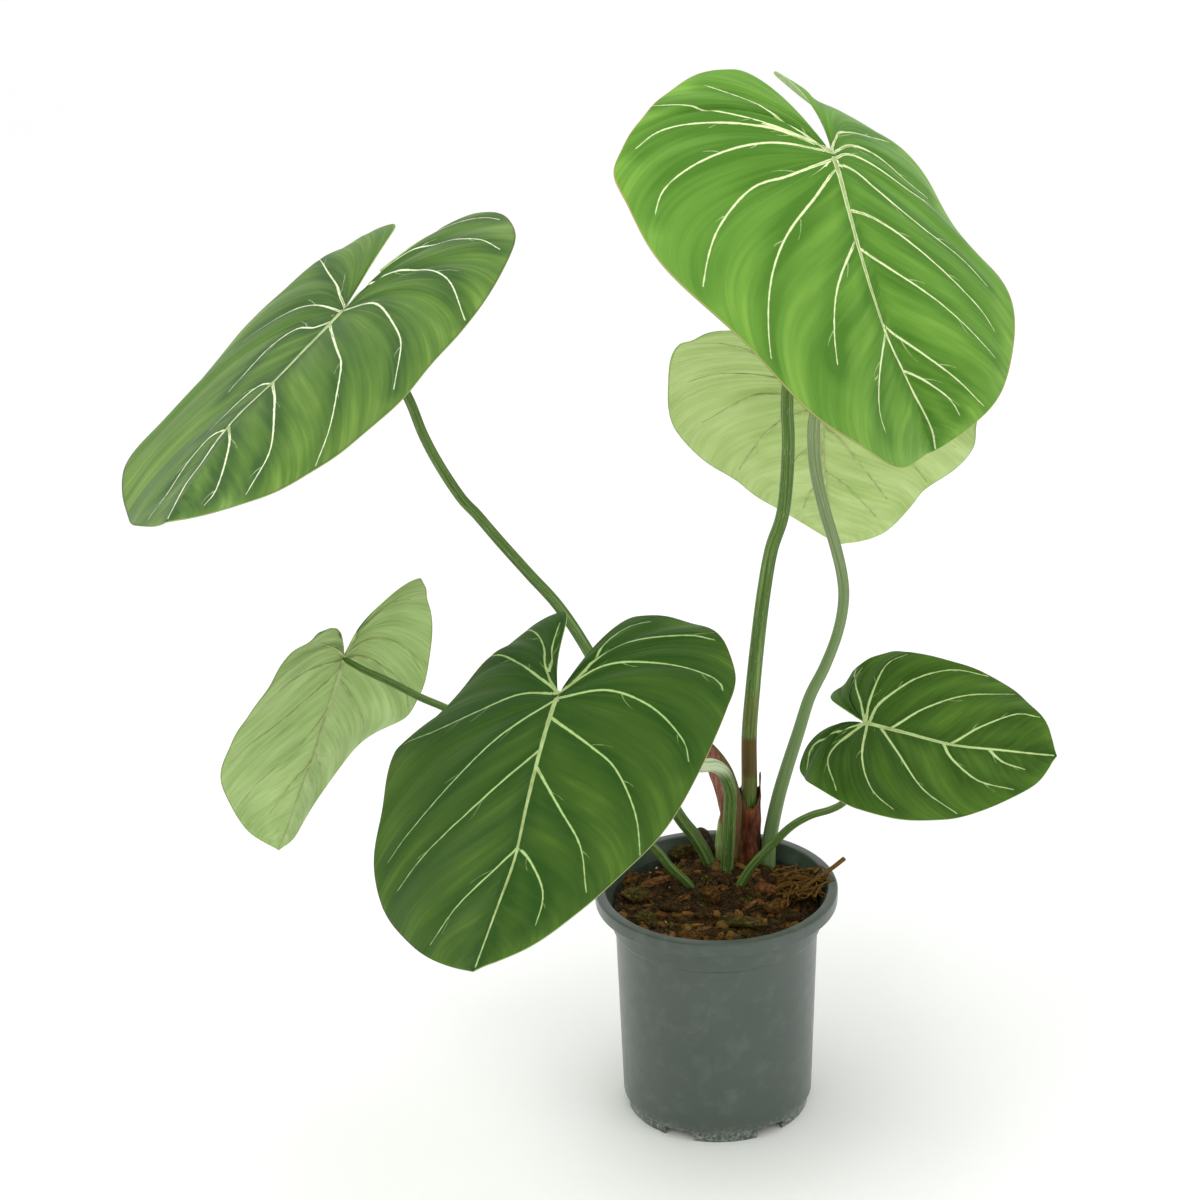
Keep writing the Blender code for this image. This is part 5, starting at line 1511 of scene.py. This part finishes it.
def bud_skin():
    """New growth bud: tight, waxy, pale green, browning to paper at its tip."""
    made, tree, shader = new_material("Waxy new bud", 0.4, 0.45)
    height = node(tree, SPLIT, {0: node(tree, "ShaderNodeTexCoord", out="Object")}, "Z")
    green = node(tree, RAMP, {0: grain(tree, 3.0, 3.0, 0.6, 0.0, (1.0, 1.0, 4.0))},
                 stops=((0.3, "93b25a"), (0.75, "d2e2a2")))
    cap = node(tree, RANGE, {"Value": height, "From Min": 186.0 * MM, "From Max": 194.0 * MM, "To Max": 0.95},
               interpolation_type="SMOOTHSTEP")
    skin = node(tree, MIX, {FACTOR: cap, COLOUR_A: green, COLOUR_B: linear("9c6434")}, COLOUR_OUT,
                data_type="RGBA")
    tree.links.new(skin, shader.inputs["Base Color"])
    relief_bump(tree, shader, grain(tree, 1.5, 3.0, 0.6, 0.0, (1.0, 1.0, 6.0)), 0.3)
    return made


class GloriosumLooks(bpy.types.PropertyGroup):
    """Sizes and colours of the dressed plant that a user may change."""
    blade_lines: bpy.props.IntProperty(
        name="Blade lines", description="Mesh lines round each half of a blade", default=LINES, min=24,
        max=300)
    blade_rows: bpy.props.IntProperty(
        name="Blade rows", description="Mesh rows from the midrib to the margin", default=ROWS, min=8,
        max=120)
    vein_width: bpy.props.FloatProperty(
        name="Vein width", description="Width of the pale veins, against the real one", default=1.0,
        subtype="FACTOR")
    velvet: bpy.props.FloatProperty(
        name="Velvet", description="Sheen of the velvety upper face", default=0.06, min=0.0, max=1.0,
        subtype="FACTOR")
    rib_height: bpy.props.FloatProperty(
        name="Rib height", description="Thickness of the raised veins under a blade, against the real one",
        default=1.0, subtype="FACTOR")
    stalk_sides: bpy.props.IntProperty(
        name="Stalk sides", description="Faces round a leaf stalk", default=24, min=8, max=64)
    pot_dark: bpy.props.FloatVectorProperty(
        name="Pot, dark", description="Darker tone of the pot's plastic", default=linear("3b4540")[:3],
        subtype="COLOR")
    pot_light: bpy.props.FloatVectorProperty(
        name="Pot, light", description="Lighter tone of the pot's plastic", default=linear("465149")[:3],
        subtype="COLOR")
    litter: bpy.props.FloatProperty(
        name="Litter", description="Amount of crumbs, chips and fibres on the mix", default=1.0, min=0.0,
        max=3.0,
        subtype="FACTOR")
    floor: bpy.props.FloatVectorProperty(
        name="Floor", description="Colour of the floor and backdrop", default=linear("fafafa")[:3],
        subtype="COLOR")
    lens: bpy.props.FloatProperty(
        name="Lens", description="Focal length of the camera, in millimetres", default=105.0, min=20.0,
        max=300.0)


class GLORIOSUM_OT_stage(bpy.types.Operator):
    """Add the camera, the soft lights, and the pale floor with its backdrop"""
    bl_idname = "gloriosum.stage"
    bl_label = "Stage"

    def execute(self, context):
        add_stage(context.scene, context.scene.gloriosum)
        return {"FINISHED"}


class GLORIOSUM_OT_blades(bpy.types.Operator):
    """Build the six blades with their veins and the raised ribs of their undersides"""
    bl_idname = "gloriosum.blades"
    bl_label = "Blades"

    def execute(self, context):
        looks = context.scene.gloriosum
        tree = tube_tree()
        for name, leaf in LEAVES.items():
            face, back = velvet_face(name, leaf, looks), pale_back(name, leaf, looks)
            blade, grids = blade_object(name, leaf, face, back, looks.blade_lines, looks.blade_rows)
            dress(blade, "blade_skin", "blade_" + name)
            dress(under_ribs(name, leaf, grids, tree, looks), "blade_skin")
        return {"FINISHED"}


class GLORIOSUM_OT_stalks(bpy.types.Operator):
    """Build the six leaf stalks as striated tubes along their routes"""
    bl_idname = "gloriosum.stalks"
    bl_label = "Stalks"

    def execute(self, context):
        tree = tube_tree()
        for name, leaf in LEAVES.items():
            stalk = tubes("dressed_stalk_" + name, [stalk_line(leaf)], context.scene.gloriosum.stalk_sides,
                          stalk_skin(name, leaf), tree)
            dress(stalk, "stalk_skin", "stalk_" + name)
        return {"FINISHED"}


class GLORIOSUM_OT_pot(bpy.types.Operator):
    """Build the plastic pot"""
    bl_idname = "gloriosum.pot"
    bl_label = "Pot"

    def execute(self, context):
        dress(dressed_pot(context.scene.gloriosum), "pot_plastic", "pot")
        return {"FINISHED"}


class GLORIOSUM_OT_mix(bpy.types.Operator):
    """Build the potting mix and its crumbly top"""
    bl_idname = "gloriosum.mix"
    bl_label = "Potting mix"

    def execute(self, context):
        dress(dressed_mix(), "potting_mix", "potting_mix")
        return {"FINISHED"}


class GLORIOSUM_OT_litter(bpy.types.Operator):
    """Lay crumbs, bark chips, fibres and moss over the potting mix"""
    bl_idname = "gloriosum.litter"
    bl_label = "Litter"

    def execute(self, context):
        add_litter(context.scene.gloriosum)
        return {"FINISHED"}


class GLORIOSUM_OT_crown(bpy.types.Operator):
    """Build the dry sheath, the scale leaf, the rhizome's end and the bud"""
    bl_idname = "gloriosum.crown"
    bl_label = "Crown"

    def execute(self, context):
        dress(sheath_shell(), "dry_sheath", "dry_sheath")
        dress(cataphyll_strip(), "dry_sheath", "cataphyll")
        dress(rough_tube("dressed_rhizome", STUMP, STUMP_R, rhizome_bark(), 28, 0.35, 3.5, 1.0),
              "rhizome_bark",
              "rhizome")
        dress(rough_tube("dressed_bud", BUD, BUD_R, bud_skin(), 24, 0.16, 4.0, 2.0), "bud_skin", "bud")
        return {"FINISHED"}


class GLORIOSUM_PT_sidebar(bpy.types.Panel):
    """Lists the settings and the pieces of the plant"""
    bl_label = "Gloriosum plant"
    bl_space_type = "VIEW_3D"
    bl_region_type = "UI"
    bl_category = "Gloriosum"

    def draw(self, context):
        looks = context.scene.gloriosum
        for name in looks.__annotations__:
            self.layout.prop(looks, name)
        for operator in OPERATORS:
            self.layout.operator(operator.bl_idname)


OPERATORS = (GLORIOSUM_OT_stage, GLORIOSUM_OT_blades, GLORIOSUM_OT_stalks, GLORIOSUM_OT_pot, GLORIOSUM_OT_mix,
             GLORIOSUM_OT_litter, GLORIOSUM_OT_crown)


def add_litter(looks):
    """Crumbs, chips, fibres, perlite and moss on the mix, each kind one piece."""
    tree = scatter_tree()
    amount = looks.litter

    def anywhere(x, y):
        return True

    kinds = (
        ("crumbs", anywhere, crumb_shape("crumb", (1.5, 1.2, 0.9), 1), 90000.0, (0.5, 1.5), 0.6, 3,
         litter_skin("Peat crumbs", "160e05", "6b4d26", "35230f")),
        ("bark_chips", anywhere, crumb_shape("chip", (4.8, 2.2, 1.1), 2), 9000.0, (0.6, 1.6), 0.5, 4,
         litter_skin("Pine bark chips", "251607", "96622f", "4d3114")),
        ("clods", anywhere, crumb_shape("clod", (3.6, 3.0, 2.4), 4, 2), 5000.0, (0.6, 1.5), 0.6, 7,
         litter_skin("Peat clods", "1d1306", "7a5a2a", "46310f")),
        ("pale_bits", anywhere, crumb_shape("pale", (1.0, 0.8, 0.6), 3), 2600.0, (0.5, 1.3), 0.6, 5,
         litter_skin("Perlite and dry bits", "8c7a4e", "dcd6bc", "a9975f")))
    for name, inside, shape, density, sizes, tilt, seed, skin in kinds:
        patch = surface_patch("patch", inside)
        dress(scattered(name, patch, shape, tree, density * amount, sizes, tilt, seed, skin), "potting_mix")
    moss = surface_patch("patch", lambda x, y: noise.noise(Vector((x / 17.0, y / 17.0, 9.0))) > 0.34)
    dress(scattered("moss", moss, moss_tuft(), tree, 220000.0 * amount, (0.5, 1.1), 0.5, 6,
                    litter_skin("Cushion moss", "34360f", "8a8a34", "565a1c")), "potting_mix")
    dress(lump_shape("lumps", ("peat", "moss", "rust", "bark"), (
        clod_skin("Peat lump", "1a1005", "6b4d24", "38240d"),
        clod_skin("Mossy peat lump", "1f1707", "84763a", "443814"),
        clod_skin("Rusty bark lump", "241506", "9a6a30", "523614"),
        clod_skin("Pine bark splinter", "3a1f0c", "b07a48", "74492a"))), "potting_mix")
    rng = random.Random(21)
    dress(tubes("fibres", fibre_lines(rng, int(FIBRES * amount)), 5,
                litter_skin("Coir fibres", "4a3212", "c9a966", "8a6933"), tube_tree()), "potting_mix")
    dress(tubes("straws", straw_lines(rng, int(STRAWS * amount)), 6,
                litter_skin("Straw and splinters", "6b4a1c", "e2c68a", "b28d4c"), tube_tree()), "potting_mix")


def add_stage(scene, looks):
    """Camera at the photograph's viewing angle, three soft lights, and the pale sweep behind the plant."""
    pitch, turn = math.radians(CAMERA_DOWN), math.radians(CAMERA_ROLL)
    ahead = Vector((0.0, math.cos(pitch), -math.sin(pitch)))
    right = Vector((1.0, 0.0, 0.0))
    up = right.cross(ahead)
    across = right * math.cos(turn) + up * math.sin(turn)
    above = up * math.cos(turn) - right * math.sin(turn)
    camera = bpy.data.objects.new("camera", bpy.data.cameras.new("camera"))
    camera.data.lens = looks.lens
    camera.data.sensor_width = 36.0
    camera.data.clip_end = 30.0
    camera.matrix_world = Matrix((
        (across.x, above.x, -ahead.x, CAMERA_AT[0]), (across.y, above.y, -ahead.y, CAMERA_AT[1]),
        (across.z, above.z, -ahead.z, CAMERA_AT[2]), (0.0, 0.0, 0.0, 1.0)))
    scene.collection.objects.link(camera)
    scene.camera = camera
    for name, place, size, power in LAMPS:
        lamp = bpy.data.lights.new(name, "AREA")
        lamp.shape = "DISK"
        lamp.size = size
        lamp.energy = power
        obj = bpy.data.objects.new(name, lamp)
        obj.location = place
        obj.rotation_euler = (Vector((0.0, 0.0, 0.35)) - Vector(place)).to_track_quat("-Z", "Y").to_euler()
        scene.collection.objects.link(obj)
    scene.view_settings.view_transform = "Standard"
    scene.world = bpy.data.worlds.new("pale studio")
    scene.world.use_nodes = True
    tree = scene.world.node_tree
    tree.nodes.clear()
    glow = node(tree, "ShaderNodeBackground", {"Color": (1.0, 1.0, 1.0, 1.0), "Strength": WORLD_LIGHT})
    node(tree, "ShaderNodeOutputWorld", {"Surface": glow}, None)
    paper, tree, shader = new_material("Matt white sweep", 0.9, 0.2)
    shader.inputs["Base Color"].default_value = (*looks.floor, 1.0)
    outline = [(-6.0, 0.0), (2.5, 0.0)] + [(2.5 + 1.2 * math.sin(a), 1.2 - 1.2 * math.cos(a))
                                           for a in np.linspace(0.1, math.pi / 2, 12)] + [(3.7, 5.0)]
    points = [(x / MM, y / MM, z / MM) for y, z in outline for x in (-7.0, 7.0)]
    faces = [(2 * k, 2 * k + 1, 2 * k + 3, 2 * k + 2) for k in range(len(outline) - 1)]
    floor = mesh_object("floor", points, faces, (paper,), 60.0)


CLASSES = (GloriosumLooks, *OPERATORS, GLORIOSUM_PT_sidebar)


def register():
    for each in CLASSES:
        bpy.utils.register_class(each)
    bpy.types.Scene.gloriosum = bpy.props.PointerProperty(type=GloriosumLooks)


def unregister():
    del bpy.types.Scene.gloriosum
    for each in reversed(CLASSES):
        bpy.utils.unregister_class(each)


def main():
    """Build everything in order."""
    register()
    bpy.ops.gloriosum.stage()
    bpy.ops.gloriosum.blades()
    bpy.ops.gloriosum.stalks()
    bpy.ops.gloriosum.pot()
    bpy.ops.gloriosum.mix()
    bpy.ops.gloriosum.litter()
    bpy.ops.gloriosum.crown()


if __name__ == "__main__":
    main()
